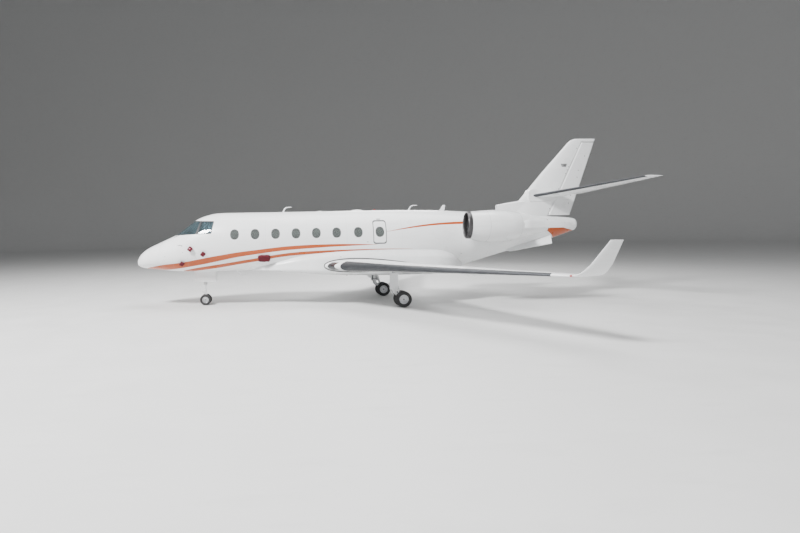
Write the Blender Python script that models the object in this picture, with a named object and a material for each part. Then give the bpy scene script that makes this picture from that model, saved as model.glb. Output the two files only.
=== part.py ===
"""Twin-engined business jet standing on its wheels, as an assembly of separate pieces.

Metres, +X aft, +Y starboard, +Z up. The origin is on the ground, under the middle of the
overall length and on the plane of symmetry. Stations are distances aft of the nose tip.
"""

import math

import bmesh
import bpy
from mathutils import Matrix, Vector

LENGTH = 18.97
MIDDLE = LENGTH / 2
GAP = 0.0003
RUN = 0.006
PORT, STARBOARD = -1, 1
SIDES = ((PORT, "left"), (STARBOARD, "right"))

# Fuselage skin: station, half width, top, bottom
HULL = (
    (0.00, 0.020, 1.850, 1.810),
    (0.03, 0.130, 1.990, 1.720),
    (0.09, 0.230, 2.110, 1.655),
    (0.20, 0.340, 2.215, 1.610),
    (0.35, 0.440, 2.305, 1.580),
    (0.60, 0.565, 2.430, 1.545),
    (0.84, 0.670, 2.538, 1.510),
    (1.08, 0.755, 2.645, 1.475),
    (1.34, 0.830, 2.757, 1.447),
    (1.66, 0.910, 2.913, 1.420),
    (2.05, 0.985, 3.195, 1.400),
    (2.43, 1.045, 3.465, 1.393),
    (2.82, 1.092, 3.632, 1.393),
    (3.30, 1.140, 3.728, 1.393),
    (3.80, 1.170, 3.744, 1.393),
    (4.30, 1.175, 3.744, 1.393),
    (10.20, 1.175, 3.744, 1.393),
    (11.20, 1.168, 3.732, 1.393),
    (12.20, 1.148, 3.705, 1.393),
    (13.00, 1.118, 3.662, 1.400),
    (13.70, 1.055, 3.618, 1.560),
    (14.50, 0.935, 3.570, 1.785),
    (15.40, 0.765, 3.510, 2.035),
    (16.30, 0.580, 3.440, 2.270),
    (17.20, 0.385, 3.370, 2.505),
    (17.83, 0.240, 3.318, 2.720),
    (18.07, 0.175, 3.260, 2.820),
    (18.13, 0.110, 3.170, 2.900),
)
RING_POINTS = 24
WALL = 0.085
GLASS = 0.024
# Where one built-up section of the hull ends and the next begins
RADOME_END = 1.08
COCKPIT_END = 3.30
ENTRY_END = 4.45
CABIN_END = 11.20
AFT_END = 16.90

FLOOR_TOP = 1.70
FLOOR_DEPTH = 0.05
WINDOW_HEIGHT = 2.862
WINDOW_WIDE, WINDOW_TALL = 0.34, 0.40
WINDOW_STATIONS = (4.064, 4.853, 5.641, 6.430, 7.218, 8.006, 8.847, 9.688)

# Windscreen and side window outlines
SCREEN_OUTLINE = ((1.52, 2.925), (2.56, 2.925), (2.70, 3.430), (2.42, 3.620), (1.52, 3.250))
SIDE_WINDOW_OUTLINE = ((2.63, 2.905), (3.17, 2.905), (3.26, 3.390), (2.77, 3.415))

CENTRE_POST = 0.035
# Door openings: first station, last station, bottom, top, corner radius
ENTRY_DOOR = (3.42, 4.22, 1.66, 3.30, 0.12)
EXIT_HATCH = (9.438, 9.938, 2.406, 3.308, 0.09)
BAGGAGE_DOOR = (11.72, 12.44, 2.22, 2.96, 0.08)
DOOR_STEPS = 4
DOOR_PIN = 0.007
BAGGAGE_HINGES = (2.40, 2.72)

# Belly fairing: station, half width, bottom, height of its seam on the hull side
BELLY = (
    (4.70, 0.42, 1.390, 1.500),
    (5.20, 0.72, 1.378, 1.640),
    (5.90, 0.98, 1.335, 1.820),
    (6.70, 1.160, 1.262, 2.010),
    (7.45, 1.267, 1.205, 2.100),
    (8.40, 1.267, 1.150, 2.160),
    (9.80, 1.267, 1.122, 2.173),
    (11.20, 1.267, 1.119, 2.173),
    (11.90, 1.267, 1.122, 2.150),
    (12.30, 1.200, 1.170, 2.080),
    (12.70, 1.020, 1.270, 1.900),
    (13.10, 0.640, 1.390, 1.600),
)

# Wing plan: distance out, leading edge, trailing edge, height of each, thickness ratio
WING = (
    (1.2673, 7.51, 11.50, 1.585, 1.475, 0.122),
    (3.4000, 9.11, 11.75, 1.622, 1.563, 0.112),
    (8.3500, 12.55, 13.22, 1.706, 1.717, 0.105),
)
WING_CAMBER = 0.012
SLAT_REAR = ((1.75, 8.30), (7.93, 12.395))
SLAT_GAP = 0.006
SLAT_STOPS = (2.6, 6.6)
SPOILER_STOPS = (2.7, 4.6)
SLAT_DROP = 0.55
FLAP_SPAN = (1.335, 5.32)
FLAP_FRONT = ((1.335, 10.445), (5.32, 11.82))
FLAP_DROP = 0.12
FLAP_AHEAD = 0.10
ARM_OFFSET = 0.035
AILERON_SPAN = (5.36, 7.98)
AILERON_FRONT = ((5.36, 11.86), (7.98, 12.82))
SPOILER_SPAN = (2.30, 5.00)
SPOILER_CHORD = 0.34
HINGE_BACK = 0.055
AILERON_HINGES = (5.9, 7.4)
ELEVATOR_HINGES = (0.95, 2.52)
RUDDER_HINGES = (3.75, 5.75)
SPOILER_THICK = 0.022
FAIRING_OUT = (2.10, 3.60, 5.10)
COVER_STEPS = 8
# Winglet: distance out, leading edge, trailing edge, height, thickness
WINGLET = (
    (8.3503, 12.550, 13.220, 1.7115, 0.066),
    (8.470, 12.625, 13.255, 1.735, 0.060),
    (8.570, 12.720, 13.290, 1.830, 0.054),
    (8.660, 12.830, 13.335, 1.990, 0.046),
    (8.840, 13.140, 13.440, 2.545, 0.022),
)

# Fin section: height, leading edge, trailing edge, half thickness
FIN = (
    (3.20, 15.10, 17.80, 0.165),
    (4.03, 15.72, 18.07, 0.140),
    (6.30, 17.68, 18.80, 0.062),
    (6.46, 17.84, 18.855, 0.050),
    (6.53, 18.02, 18.880, 0.026),
)
RUDDER_HINGE = ((16.94, 3.42), (18.302, 6.38))
RUDDER_TOP_GAP = 0.035
# How far the rudder's skin starts behind its hinge line, and the fin's skin ends ahead of it
RUDDER_BACK = 0.030
RUDDER_AHEAD = 0.050
# Dorsal intake fairing ahead of the fin: station, half width, bottom, top
DORSAL = ((14.80, 0.085, 3.50, 3.886), (15.20, 0.105, 3.46, 3.960), (15.90, 0.12, 3.42, 4.060))

# Tailplane: distance out, leading edge, trailing edge, height, thickness ratio
TAILPLANE = ((0.168, 16.25, 17.99, 4.235, 0.105), (3.344, 18.34, 18.97, 4.595, 0.09))
TAIL_PIVOT = (17.02, 4.250)
TAIL_TUBE = 0.060
# Plan of the corner taken off the tailplane's root so that the rudder swings past it
RUDDER_ROOM = ((17.25, 0.10), (17.60, 0.10), (17.60, 0.26))
ELEVATOR_FRONT = ((0.46, 17.62), (3.26, 18.75))
SEAL_PLATE = (16.05, 17.22, 3.98, 4.50, 0.160)
# Ventral strake corners: station, distance out, height
STRAKE = ((14.75, 0.30, 2.10), (16.78, 0.16, 2.56), (16.55, 0.80, 2.360), (14.95, 0.86, 1.985))
STRAKE_THICK = 0.03

ENGINE_OUT = 1.925
ENGINE_HEIGHT = 2.995
ENGINE_STEPS = 24
# Nacelle skin and its duct: station, radius
COWL = ((12.80, 0.545), (12.96, 0.570), (13.50, 0.598), (14.20, 0.565), (14.86, 0.450),
        (15.30, 0.345), (15.73, 0.240))
DUCT = ((15.73, 0.222), (15.10, 0.305), (14.30, 0.375), (13.75, 0.412), (12.95, 0.412), (12.80, 0.428))
LIP = ((12.7997, 0.545), (12.72, 0.528), (12.655, 0.500), (12.63, 0.470), (12.655, 0.443),
       (12.72, 0.432), (12.7997, 0.428))
STANG = (14.70, 15.92, 0.125, 0.055)
FAN_STATION = 13.22
FAN_RADIUS = 0.398
FAN_BLADES = 14
# Fan blade: radius, pitch in degrees, chord, thickness
BLADE = ((0.09, 30, 0.085, 0.014), (0.25, 48, 0.105, 0.010), (FAN_RADIUS, 62, 0.115, 0.006))
CORE_FRONT = 13.42
CORE_REAR = 15.05
CORE_RADIUS = 0.235
VANE_REACH = 0.4080
HUB_STEPS = 16
SHAFT_RADIUS = 0.050
PYLON = (13.45, 15.35, 0.13)
PYLON_STEPS = 16

# Jack pads: stations, distance out, radius and how far they stand proud of the skin
WING_JACK = (9.72, 2.25)
NOSE_JACK = 1.52
PAD_RADIUS = 0.045
PAD_PROUD = 0.012

# Landing gear; a wheel's rolling radius is that of its flats on the ground
WHEEL_STEPS = 20
FLAT = math.cos(math.pi / WHEEL_STEPS)
TYRE_BORE = 0.56
AXLE_SHARE = 0.17
NOSE_AXLE = (2.72, 0.225)
NOSE_WHEEL = (0.225 / FLAT, 0.125, 0.130)
NOSE_TOP = 1.640
NOSE_BAY = (2.30, 3.20, 0.235)
STEER_RANGE = 60
MAIN_OUT = 1.66
MAIN_AXLE = (10.42, 0.305)
MAIN_WHEEL = (0.305 / FLAT, 0.170, 0.155)
MAIN_LEG = 10.06
MAIN_ELBOW = 0.60
MAIN_BAY = (9.90, 10.24, 1.40, 1.95, 0.16)

# Hinges: half thickness and half height of a lug, its slot, and the pin in it
LUG_HALF = 0.012
LUG_TALL = 0.016
BOSS_HALF = 0.0135
SLOT_DEEP = 0.30
PIN_RADIUS = 0.009
PIN_STEPS = 8

PAINT = ("white paint", (0.86, 0.87, 0.88), 0.22, 0.0)
ORANGE = ("orange paint", (0.78, 0.22, 0.02), 0.25, 0.0)
BARE = ("bare leading edge", (0.42, 0.43, 0.45), 0.35, 0.9)
LIP_METAL = ("intake lip metal", (0.50, 0.50, 0.50), 0.28, 1.0)
PANE = ("tinted glazing", (0.08, 0.13, 0.17), 0.06, 0.0)
CABIN_PANE = ("cabin glazing", (0.22, 0.25, 0.25), 0.15, 0.0)
LEG_PAINT = ("leg paint", (0.74, 0.75, 0.76), 0.35, 0.1)
ALLOY = ("wheel alloy", (0.62, 0.63, 0.65), 0.35, 0.9)
RUBBER = ("tyre rubber", (0.03, 0.03, 0.032), 0.80, 0.0)
FAN_METAL = ("fan metal", (0.30, 0.31, 0.33), 0.35, 0.9)
HOT_METAL = ("engine metal", (0.22, 0.21, 0.20), 0.45, 0.9)
TRIM = ("cabin trim", (0.62, 0.57, 0.48), 0.70, 0.0)
SEAT = ("seat leather", (0.55, 0.47, 0.37), 0.60, 0.0)
PANEL = ("flight deck panel", (0.05, 0.05, 0.055), 0.60, 0.0)


# Small tools

def clear_scene():
    for old in list(bpy.data.objects):
        bpy.data.objects.remove(old, do_unlink=True)


def paint(obj, finish):
    """Gives the object its own Principled BSDF material."""
    name, colour, roughness, metallic = finish
    material = bpy.data.materials.new(f"{obj.name} {name}")
    material.use_nodes = True
    shader = material.node_tree.nodes["Principled BSDF"]
    shader.inputs["Base Color"].default_value = (*colour, 1.0)
    shader.inputs["Roughness"].default_value = roughness
    shader.inputs["Metallic"].default_value = metallic
    obj.data.materials.clear()
    obj.data.materials.append(material)


def at(station, out, height):
    """A point in the part's frame from its station, distance out and height."""
    return Vector((station - MIDDLE, out, height))


def solid(name, bm):
    """An object from a bmesh whose faces are turned outwards."""
    bmesh.ops.remove_doubles(bm, verts=bm.verts, dist=1e-5)
    bmesh.ops.recalc_face_normals(bm, faces=bm.faces)
    mesh = bpy.data.meshes.new(name)
    bm.to_mesh(mesh)
    bm.free()
    obj = bpy.data.objects.new(name, mesh)
    bpy.context.scene.collection.objects.link(obj)
    return obj


def finish(obj, finish_values, pivot=None):
    """Paints a piece, shades its round faces smooth and sets its origin on its joint's axis."""
    paint(obj, finish_values)
    obj.data.shade_smooth()
    obj.data.set_sharp_from_angle(angle=math.radians(32))
    if pivot is not None:
        obj.data.transform(Matrix.Translation(-pivot))
        obj.location = pivot
    return obj


def combine(obj, tool, operation):
    """Applies a Boolean of the object with a tool object, and removes the tool."""
    modifier = obj.modifiers.new(operation, "BOOLEAN")
    modifier.operation = operation
    modifier.solver = "EXACT"
    modifier.object = tool
    bpy.context.view_layer.update()
    graph = bpy.context.evaluated_depsgraph_get()
    mesh = bpy.data.meshes.new_from_object(obj.evaluated_get(graph))
    obj.modifiers.clear()
    obj.data = mesh
    bpy.data.objects.remove(tool, do_unlink=True)
    return obj


def cut(obj, *tools):
    for tool in tools:
        combine(obj, tool, "DIFFERENCE")
    return obj


def join(obj, *tools):
    for tool in tools:
        combine(obj, tool, "UNION")
    return obj


def keep(obj, tool):
    return combine(obj, tool, "INTERSECT")


def skin_rings(bm, pairs, returning=None):
    """Triangles between neighbouring rings, split so that a way out and a way back match."""
    for number, (first, second) in enumerate(pairs):
        if returning is not None and number >= returning:
            first, second = second, first
        for i in range(len(first)):
            j = (i + 1) % len(first)
            bm.faces.new((first[i], first[j], second[j]))
            bm.faces.new((first[i], second[j], second[i]))


def loft(name, rings):
    """A solid through closed rings of equal count, with flat ends."""
    bm = bmesh.new()
    made = [[bm.verts.new(p) for p in ring] for ring in rings]
    skin_rings(bm, zip(made, made[1:]))
    bm.faces.new(made[0])
    bm.faces.new(made[-1])
    return solid(name, bm)


def ring_loft(name, rings, returning=None):
    """A solid whose rings close on themselves, the last one joined to the first."""
    bm = bmesh.new()
    made = [[bm.verts.new(p) for p in ring] for ring in rings]
    skin_rings(bm, zip(made, made[1:] + made[:1]), returning)
    return solid(name, bm)


def block(name, low, high):
    """A box between two corners, each given as station, distance out and height."""
    bm = bmesh.new()
    bmesh.ops.create_cube(bm, size=1.0)
    a, b = at(*low), at(*high)
    for v in bm.verts:
        v.co = Vector(a[i] + (v.co[i] + 0.5) * (b[i] - a[i]) for i in range(3))
    return solid(name, bm)


def rounded(low_u, high_u, low_v, high_v, radius, steps=3):
    """Outline of a rectangle with round corners, as (u, v) pairs."""
    points = []
    corners = (
        (high_u - radius, low_v + radius, -90),
        (high_u - radius, high_v - radius, 0),
        (low_u + radius, high_v - radius, 90),
        (low_u + radius, low_v + radius, 180),
    )
    for u, v, start in corners:
        for k in range(steps + 1):
            angle = math.radians(start + 90 * k / steps)
            points.append((u + radius * math.cos(angle), v + radius * math.sin(angle)))
    return points


def oval(centre_u, centre_v, wide, tall, steps=12):
    """Outline of a rounded oval, as (u, v) pairs."""
    points = []
    for k in range(steps):
        angle = 2 * math.pi * k / steps
        c, s = math.cos(angle), math.sin(angle)
        points.append(
            (
                centre_u + wide / 2 * math.copysign(abs(c) ** 0.9, c),
                centre_v + tall / 2 * math.copysign(abs(s) ** 0.9, s),
            )
        )
    return points


def grown(points, amount):
    """An outline moved outwards from its middle by about the given amount."""
    u0 = sum(p[0] for p in points) / len(points)
    v0 = sum(p[1] for p in points) / len(points)
    out = []
    for u, v in points:
        away = math.hypot(u - u0, v - v0)
        out.append((u0 + (u - u0) * (away + amount) / away, v0 + (v - v0) * (away + amount) / away))
    return out


def side_prism(name, outline, side, inner, outer):
    """An outline of (station, height) pairs extruded sideways."""
    return loft(name, [[at(u, side * out, v) for u, v in outline] for out in (inner, outer)])


def turned(name, profile, centre, steps, axis="X"):
    """A closed profile of (along, radius) pairs turned about an axis through the centre."""
    rings = []
    for k in range(steps):
        angle = 2 * math.pi * k / steps
        c, s = math.cos(angle), math.sin(angle)
        if axis == "X":
            rings.append([centre + Vector((a, r * c, r * s)) for a, r in profile])
        elif axis == "Y":
            rings.append([centre + Vector((r * c, a, r * s)) for a, r in profile])
        else:
            rings.append([centre + Vector((r * c, r * s, a)) for a, r in profile])
    return ring_loft(name, rings)


def rod(name, start, end, radius, steps=12, end_radius=None):
    """A round bar between two points."""
    along = (end - start).normalized()
    across = along.orthogonal().normalized()
    up = along.cross(across)
    rings = []
    for point, size in ((start, radius), (end, end_radius or radius)):
        rings.append(
            [
                point + size * (math.cos(a) * across + math.sin(a) * up)
                for a in (2 * math.pi * k / steps for k in range(steps))
            ]
        )
    return loft(name, rings)


def half_stepped(obj, centre, steps, axis):
    """Turns a many-sided piece by half a side about its centre line."""
    turn = Matrix.Rotation(math.pi / steps, 4, axis)
    obj.data.transform(Matrix.Translation(centre) @ turn @ Matrix.Translation(-centre))
    return obj


def running_bore(radius, steps):
    """Radius of a many-sided hole that a many-sided pin turns in, a gap apart."""
    return radius / math.cos(math.pi / steps) + GAP


def beam(name, start, end, side, half_side, half_across):
    """A bar of rectangular section between two points, its width along the side vector."""
    along = (end - start).normalized()
    across = along.cross(side).normalized()
    corners = ((-1, -1), (1, -1), (1, 1), (-1, 1))
    return loft(
        name,
        [[p + side * (half_side * u) + across * (half_across * v) for u, v in corners] for p in (start, end)],
    )


def eyed(lug, point, along):
    """A lug with a round end and a bore for its pin."""
    half, reach = along * BOSS_HALF, along * 0.05
    join(lug, rod("lug end", point - half, point + half, LUG_TALL + 0.003, PIN_STEPS))
    return cut(lug, rod("bore", point - reach, point + reach, running_bore(PIN_RADIUS, PIN_STEPS), PIN_STEPS))


def hinge(lugged, pinned, point, along, root, slot_end=0.032):
    """A lug on one piece, from its root to the axis, round a pin across a slot in the other piece."""
    back = (point - root).normalized()
    slot = beam("slot", root - back * 0.1, point + back * slot_end, along, LUG_HALF + RUN, SLOT_DEEP)
    pin = rod("pin", point - along * 0.034, point + along * 0.034, PIN_RADIUS, PIN_STEPS)
    cut(pinned, slot)
    join(pinned, pin)
    lug = beam("lug", root, point, along, LUG_HALF, LUG_TALL)
    join(lugged, eyed(lug, point, along))


def mix(table, key, column):
    """Reads one column of a table, straight between its rows."""
    if key <= table[0][0]:
        return table[0][column]
    for low, high in zip(table, table[1:]):
        if key <= high[0]:
            share = (key - low[0]) / (high[0] - low[0])
            return low[column] + share * (high[column] - low[column])
    return table[-1][column]


# Hull

def hull_ring(station, inset=0.0, points=RING_POINTS):
    """The hull's cross-section at a station, moved inwards by an inset."""
    half = mix(HULL, station, 1) - inset
    top = mix(HULL, station, 2) - inset
    bottom = mix(HULL, station, 3) + inset
    middle = (top + bottom) / 2
    ring = []
    for k in range(points):
        angle = 2 * math.pi * (k + 0.5) / points
        ring.append(
            at(station, half * math.cos(angle), middle + (top - bottom) / 2 * math.sin(angle))
        )
    return ring


def hull_side(station, height):
    """Distance out of the hull's skin at a station and height."""
    half, top, bottom = (mix(HULL, station, column) for column in (1, 2, 3))
    share = (height - (top + bottom) / 2) / ((top - bottom) / 2)
    return half * math.sqrt(max(0.0, 1 - share * share))


def stations_between(first, last):
    """Stations where the hull's skin bends or a section ends, so that all pieces share its facets."""
    known = {row[0] for row in HULL} | {RADOME_END, COCKPIT_END, ENTRY_END, CABIN_END, AFT_END}
    return [first, *(x for x in sorted(known) if first + 0.02 < x < last - 0.02), last]


def hull_solid(name, first, last, inset=0.0):
    return loft(name, [hull_ring(x, inset) for x in stations_between(first, last)])


def hull_shell(name, first, last, outer=0.0, inner=WALL):
    """A length of the hull's wall, open at both ends."""
    stations = stations_between(first, last)
    outside = [hull_ring(x, outer) for x in stations]
    inside = [hull_ring(x, inner) for x in reversed(stations)]
    return ring_loft(name, outside + inside, len(stations))


def window_outline(station, grow=0.0):
    return oval(station, WINDOW_HEIGHT, WINDOW_WIDE + 2 * grow, WINDOW_TALL + 2 * grow)


def window_cutters(stations, side, grow=0.0):
    return [
        side_prism("window cutter", window_outline(x, grow), side, 0.85, 1.40) for x in stations
    ]


def door_cutter(door, side, grow, inner=0.30):
    first, last, bottom, top, radius = door
    outline = rounded(
        first - grow, last + grow, bottom - grow, top + grow, radius + grow
    )
    return side_prism("door cutter", outline, side, inner, 1.50)


def screen_cutter(side, grow):
    return side_prism("screen cutter", grown(SCREEN_OUTLINE, grow), side, CENTRE_POST - grow, 1.40)


def side_window_cutter(side, grow):
    return side_prism("side window cutter", grown(SIDE_WINDOW_OUTLINE, grow), side, 0.45, 1.40)


def jack_pad(skin):
    """Round pad under a point of the skin, with a flat face below."""
    return rod("jack pad", skin + Vector((0, 0, 0.04)), skin - Vector((0, 0, PAD_PROUD)), PAD_RADIUS, 16)


def build_hull():
    finish(hull_solid("radome", HULL[0][0], RADOME_END - GAP), PAINT)
    cockpit = hull_shell("cockpit_shell", RADOME_END, COCKPIT_END - GAP)
    for side, _ in SIDES:
        cut(cockpit, screen_cutter(side, 0.0), side_window_cutter(side, 0.0))
    first, last, half = NOSE_BAY
    cut(cockpit, block("bay cutter", (first, -half, 1.2), (last, half, 1.62)))
    pad_top = at(NOSE_JACK, 0, hull_bottom_at(NOSE_JACK, 0))
    join(cockpit, jack_pad(pad_top))
    finish(cockpit, PAINT)
    for side, word in SIDES:
        for label, cutter in (("windscreen", screen_cutter), ("side_window", side_window_cutter)):
            pane = hull_shell(f"{label}_{word}", 1.2, COCKPIT_END - 0.01, 0.003, 0.003 + GLASS)
            finish(keep(pane, cutter(side, -GAP)), PANE)

    entry = hull_shell("entry_section", COCKPIT_END, ENTRY_END - GAP)
    cut(entry, door_cutter(ENTRY_DOOR, STARBOARD, 0.0), *window_cutters(WINDOW_STATIONS[:1], PORT))

    cabin = hull_shell("cabin_shell", ENTRY_END, CABIN_END - GAP)
    cut(cabin, *window_cutters(WINDOW_STATIONS[1:7], PORT), door_cutter(EXIT_HATCH, PORT, 0.0, 0.8))
    cut(cabin, *window_cutters(WINDOW_STATIONS[1:], STARBOARD))
    finish(cabin, PAINT)
    return entry


def build_cabin_glazing():
    """A lining strip along each side that carries the window panes."""
    for side, word, stations in (
        (PORT, "left", WINDOW_STATIONS[:7]),
        (STARBOARD, "right", WINDOW_STATIONS[1:]),
    ):
        first, last = stations[0] - 0.27, stations[-1] + 0.27
        strip = hull_shell(f"cabin_glazing_{word}", first, last, WALL + GAP, WALL + 0.014)
        low, high = WINDOW_HEIGHT - 0.27, WINDOW_HEIGHT + 0.27
        edges = sorted((side * 0.7, side * 1.3))
        keep(strip, block("strip keeper", (first - 0.1, edges[0], low), (last + 0.1, edges[1], high)))
        for station in stations:
            pane = hull_shell("pane", station - 0.3, station + 0.3, 0.004, WALL + 0.010)
            keep(pane, side_prism("pane keeper", window_outline(station, -GAP), side, 0.9, 1.4))
            join(strip, pane)
        finish(strip, CABIN_PANE)


def entry_door_axis():
    first, last, bottom, _, _ = ENTRY_DOOR
    return at((first + last) / 2, hull_side(4.0, bottom) + 0.016, bottom - 0.012)


def door_hinge(frame, door, point, along, to_door, to_frame):
    """A pin on the door's leaf between two lugs of the frame, all outside the skin."""
    half = 0.030
    pin = rod("pin", point - along * (half + 0.022), point + along * (half + 0.022), DOOR_PIN, PIN_STEPS)
    leaf = beam("leaf", point, point + to_door.normalized() * 0.07, along, half - 0.008, DOOR_PIN * 0.9)
    join(door, join(pin, leaf))
    for end in (-1, 1):
        middle = point + along * (end * (half + 0.010))
        lug = beam("lug", middle + to_frame.normalized() * 0.06, middle, along, 0.007, DOOR_PIN * 1.6)
        join(lug, rod("lug end", middle - along * 0.007, middle + along * 0.007, DOOR_PIN * 1.8, PIN_STEPS))
        reach = along * 0.03
        cut(lug, rod("bore", middle - reach, middle + reach, running_bore(DOOR_PIN, PIN_STEPS), PIN_STEPS))
        join(frame, lug)


def build_doors(entry):
    """Airstair entry door, over-wing exit hatch and baggage door."""
    door = hull_shell("entry_door", COCKPIT_END, ENTRY_END, 0.0, WALL)
    keep(door, door_cutter(ENTRY_DOOR, STARBOARD, -2 * RUN))
    first, last, bottom, top, _ = ENTRY_DOOR
    pivot = entry_door_axis()
    for k in range(DOOR_STEPS):
        height = bottom + 0.285 + k * (top - bottom - 0.425) / (DOOR_STEPS - 1)
        skin = hull_side(3.9, height) - WALL
        tread = block(
            "tread", (first + 0.10, skin - 0.20, height - 0.018), (last - 0.10, skin + 0.05, height + 0.018)
        )
        turn = Matrix.Rotation(math.radians(38), 4, "X")
        middle = at((first + last) / 2, skin, height)
        tread.data.transform(Matrix.Translation(middle) @ turn @ Matrix.Translation(-middle))
        join(door, tread)
    axis = Vector((1, 0, 0))
    for x in (first + 0.12, last - 0.12):
        point = Vector((x - MIDDLE, pivot.y, pivot.z))
        door_hinge(entry, door, point, axis, Vector((0, -0.45, 1)), Vector((0, -1, -0.1)))
    finish(entry, PAINT)
    finish(door, PAINT, pivot)

    hatch = hull_shell("exit_hatch", 9.0, 10.3)
    keep(hatch, door_cutter(EXIT_HATCH, PORT, -GAP, 0.8))
    recess = hull_shell("recess", 9.2, 10.2, -0.05, 0.012)
    keep(recess, side_prism("recess keeper", window_outline(WINDOW_STATIONS[7]), PORT, 0.9, 1.4))
    finish(cut(hatch, recess), PAINT)

    baggage = hull_shell("baggage_door", CABIN_END, 13.0)
    return keep(baggage, door_cutter(BAGGAGE_DOOR, STARBOARD, -RUN, 0.8))


def baggage_axis():
    first, _, bottom, top, _ = BAGGAGE_DOOR
    return at(first + 0.002, mix(HULL, first, 1) + 0.012, (bottom + top) / 2)


def build_aft_hull(baggage):
    aft = hull_shell("aft_fuselage", CABIN_END, AFT_END - GAP, 0.0, 0.07)
    for side, _ in SIDES:
        join(aft, pylon(side), strake(side))
        cut(aft, nacelle_solid("nacelle cutter", side, GAP))
    cut(aft, door_cutter(BAGGAGE_DOOR, STARBOARD, 0.0, 0.8))
    pivot, up = baggage_axis(), Vector((0, 0, 1))
    for z in BAGGAGE_HINGES:
        point = Vector((pivot.x, pivot.y, z))
        door_hinge(aft, baggage, point, up, Vector((1, -0.70, 0)), Vector((-1, -0.90, 0)))
    finish(baggage, PAINT, pivot)
    finish(aft, PAINT)
    cone = hull_solid("tail_cone", AFT_END, HULL[-1][0])
    finish(cone, PAINT)


def pylon(side):
    """Streamlined beam from inside the hull's wall to the nacelle."""
    first, last, thick = PYLON
    rings = []
    for out, front, rear in ((0.93, first, last + 0.15), (ENGINE_OUT - 0.30, first - 0.1, last - 0.15)):
        inner = min(out, hull_side(14.4, ENGINE_HEIGHT) - 0.04) if out < 1 else out
        ring = []
        for k in range(PYLON_STEPS):
            angle = 2 * math.pi * k / PYLON_STEPS
            along = (1 + math.cos(angle)) / 2
            thin = thick * math.sin(angle) * (0.55 + 0.45 * math.sin(math.pi * min(1, along + 0.25)))
            ring.append(at(rear + (front - rear) * along, side * inner, ENGINE_HEIGHT - 0.02 + thin))
        rings.append(ring)
    return loft("pylon", rings)


def strake(side):
    """Canted fin plate under the tail, its root inside the hull's wall."""
    corners = [at(x, side * out, z) for x, out, z in STRAKE]
    across = (corners[1] - corners[0]).cross(corners[3] - corners[0]).normalized()
    half = across * STRAKE_THICK / 2
    return loft("strake", [[c - half for c in corners], [c + half for c in corners]])


def belly_ring(station):
    """Half-round fairing section, wider than the hull and flat under it."""
    half, bottom, seam = (mix(BELLY, station, column) for column in (1, 2, 3))
    side = hull_side(station, seam) - 0.03
    low = bottom + 0.16 * (seam - bottom)
    shoulder = bottom + 0.66 * (seam - bottom)
    outline = [
        (0.0, bottom),
        (half * 0.45, bottom + 0.004),
        (half * 0.72, bottom + 0.03 * (seam - bottom) + 0.01),
        (half * 0.90, bottom + 0.07 * (seam - bottom) + 0.01),
        (half * 0.985, low),
        (half, bottom + 0.24 * (seam - bottom)),
        (half, shoulder),
        (half * 0.985, shoulder + 0.12 * (seam - bottom)),
        (max(side, 0.2), seam),
    ]
    ring = [at(station, y, z) for y, z in outline]
    ring += [at(station, -y, z) for y, z in reversed(outline[1:])]
    return ring


def build_belly():
    stations = [row[0] for row in BELLY]
    fairing = loft("belly_fairing", [belly_ring(x) for x in stations])
    cut(fairing, hull_solid("hull cutter", 3.80, 13.70, -GAP))
    finish(fairing, PAINT)


def build_interior():
    """Floor with the cabin seats, partitions, flight deck panel and the pilots' seats."""
    floor = hull_solid("cabin_floor", 1.66, CABIN_END - 0.02, WALL + GAP)
    keep(floor, block("floor keeper", (1.7, -1.3, FLOOR_TOP - FLOOR_DEPTH), (11.3, 1.3, FLOOR_TOP)))
    for station, opening in ((3.20, 0.30), (CABIN_END - 0.10, 0.0)):
        wall = hull_solid("partition", station, station + 0.06, WALL + 0.004)
        low, high = (station - 0.1, -1.3, FLOOR_TOP - 0.02), (station + 0.2, 1.3, 3.8)
        keep(wall, block("partition keeper", low, high))
        if opening:
            cut(wall, block("doorway", (station - 0.1, -opening, FLOOR_TOP), (station + 0.2, opening, 3.50)))
        join(floor, wall)
    for station, faces in ((4.75, 1), (6.05, -1), (6.75, 1), (8.05, -1), (8.75, 1)):
        for side, _ in SIDES:
            join(floor, *cabin_seat(station, side, faces))
    finish(floor, TRIM)

    panel = loft(
        "flight_deck_panel",
        [
            [at(1.86, y, 2.42), at(2.20, y, 2.30), at(2.28, y, 2.74), at(2.16, y, 2.80), at(1.86, y, 2.70)]
            for y in (-0.54, 0.54)
        ],
    )
    pedestal = block("pedestal", (2.05, -0.11, FLOOR_TOP + GAP), (2.62, 0.11, 2.36))
    finish(join(panel, pedestal), PANEL)
    for side, word in SIDES:
        parts = cabin_seat(2.52, side, -1, out=0.43, wide=0.42)
        seat = parts[0]
        seat.name = f"pilot_seat_{word}"
        join(seat, *parts[1:])
        seat.data.transform(Matrix.Translation((0, 0, 0.02 + GAP)))
        finish(seat, SEAT)


def cabin_seat(station, side, faces, out=0.55, wide=0.48):
    """Base, cushion, back and arm of one seat; faces is 1 towards the tail."""
    back = station if faces > 0 else station + 0.50
    lean = -0.10 * faces
    near, far = side * (out - wide / 2), side * (out + wide / 2)
    inner, outer = min(near, far), max(near, far)
    low = FLOOR_TOP - 0.02
    foot = sorted((side * (out - 0.13), side * (out + 0.07)))
    base = block("seat base", (station + 0.05, foot[0], low), (station + 0.45, foot[1], 1.98))
    cushion = block("seat cushion", (station, inner, 1.96), (station + 0.52, outer, 2.12))
    slab = ((-0.06, inner), (0.06, inner), (0.06, outer), (-0.06, outer))
    rest = loft(
        "seat back",
        [
            [at(back + lean * k + d, y, z) for d, y in slab]
            for k, z in ((0, 2.05), (1, 2.72))
        ],
    )
    return [base, cushion, rest]


# Wing

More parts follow.
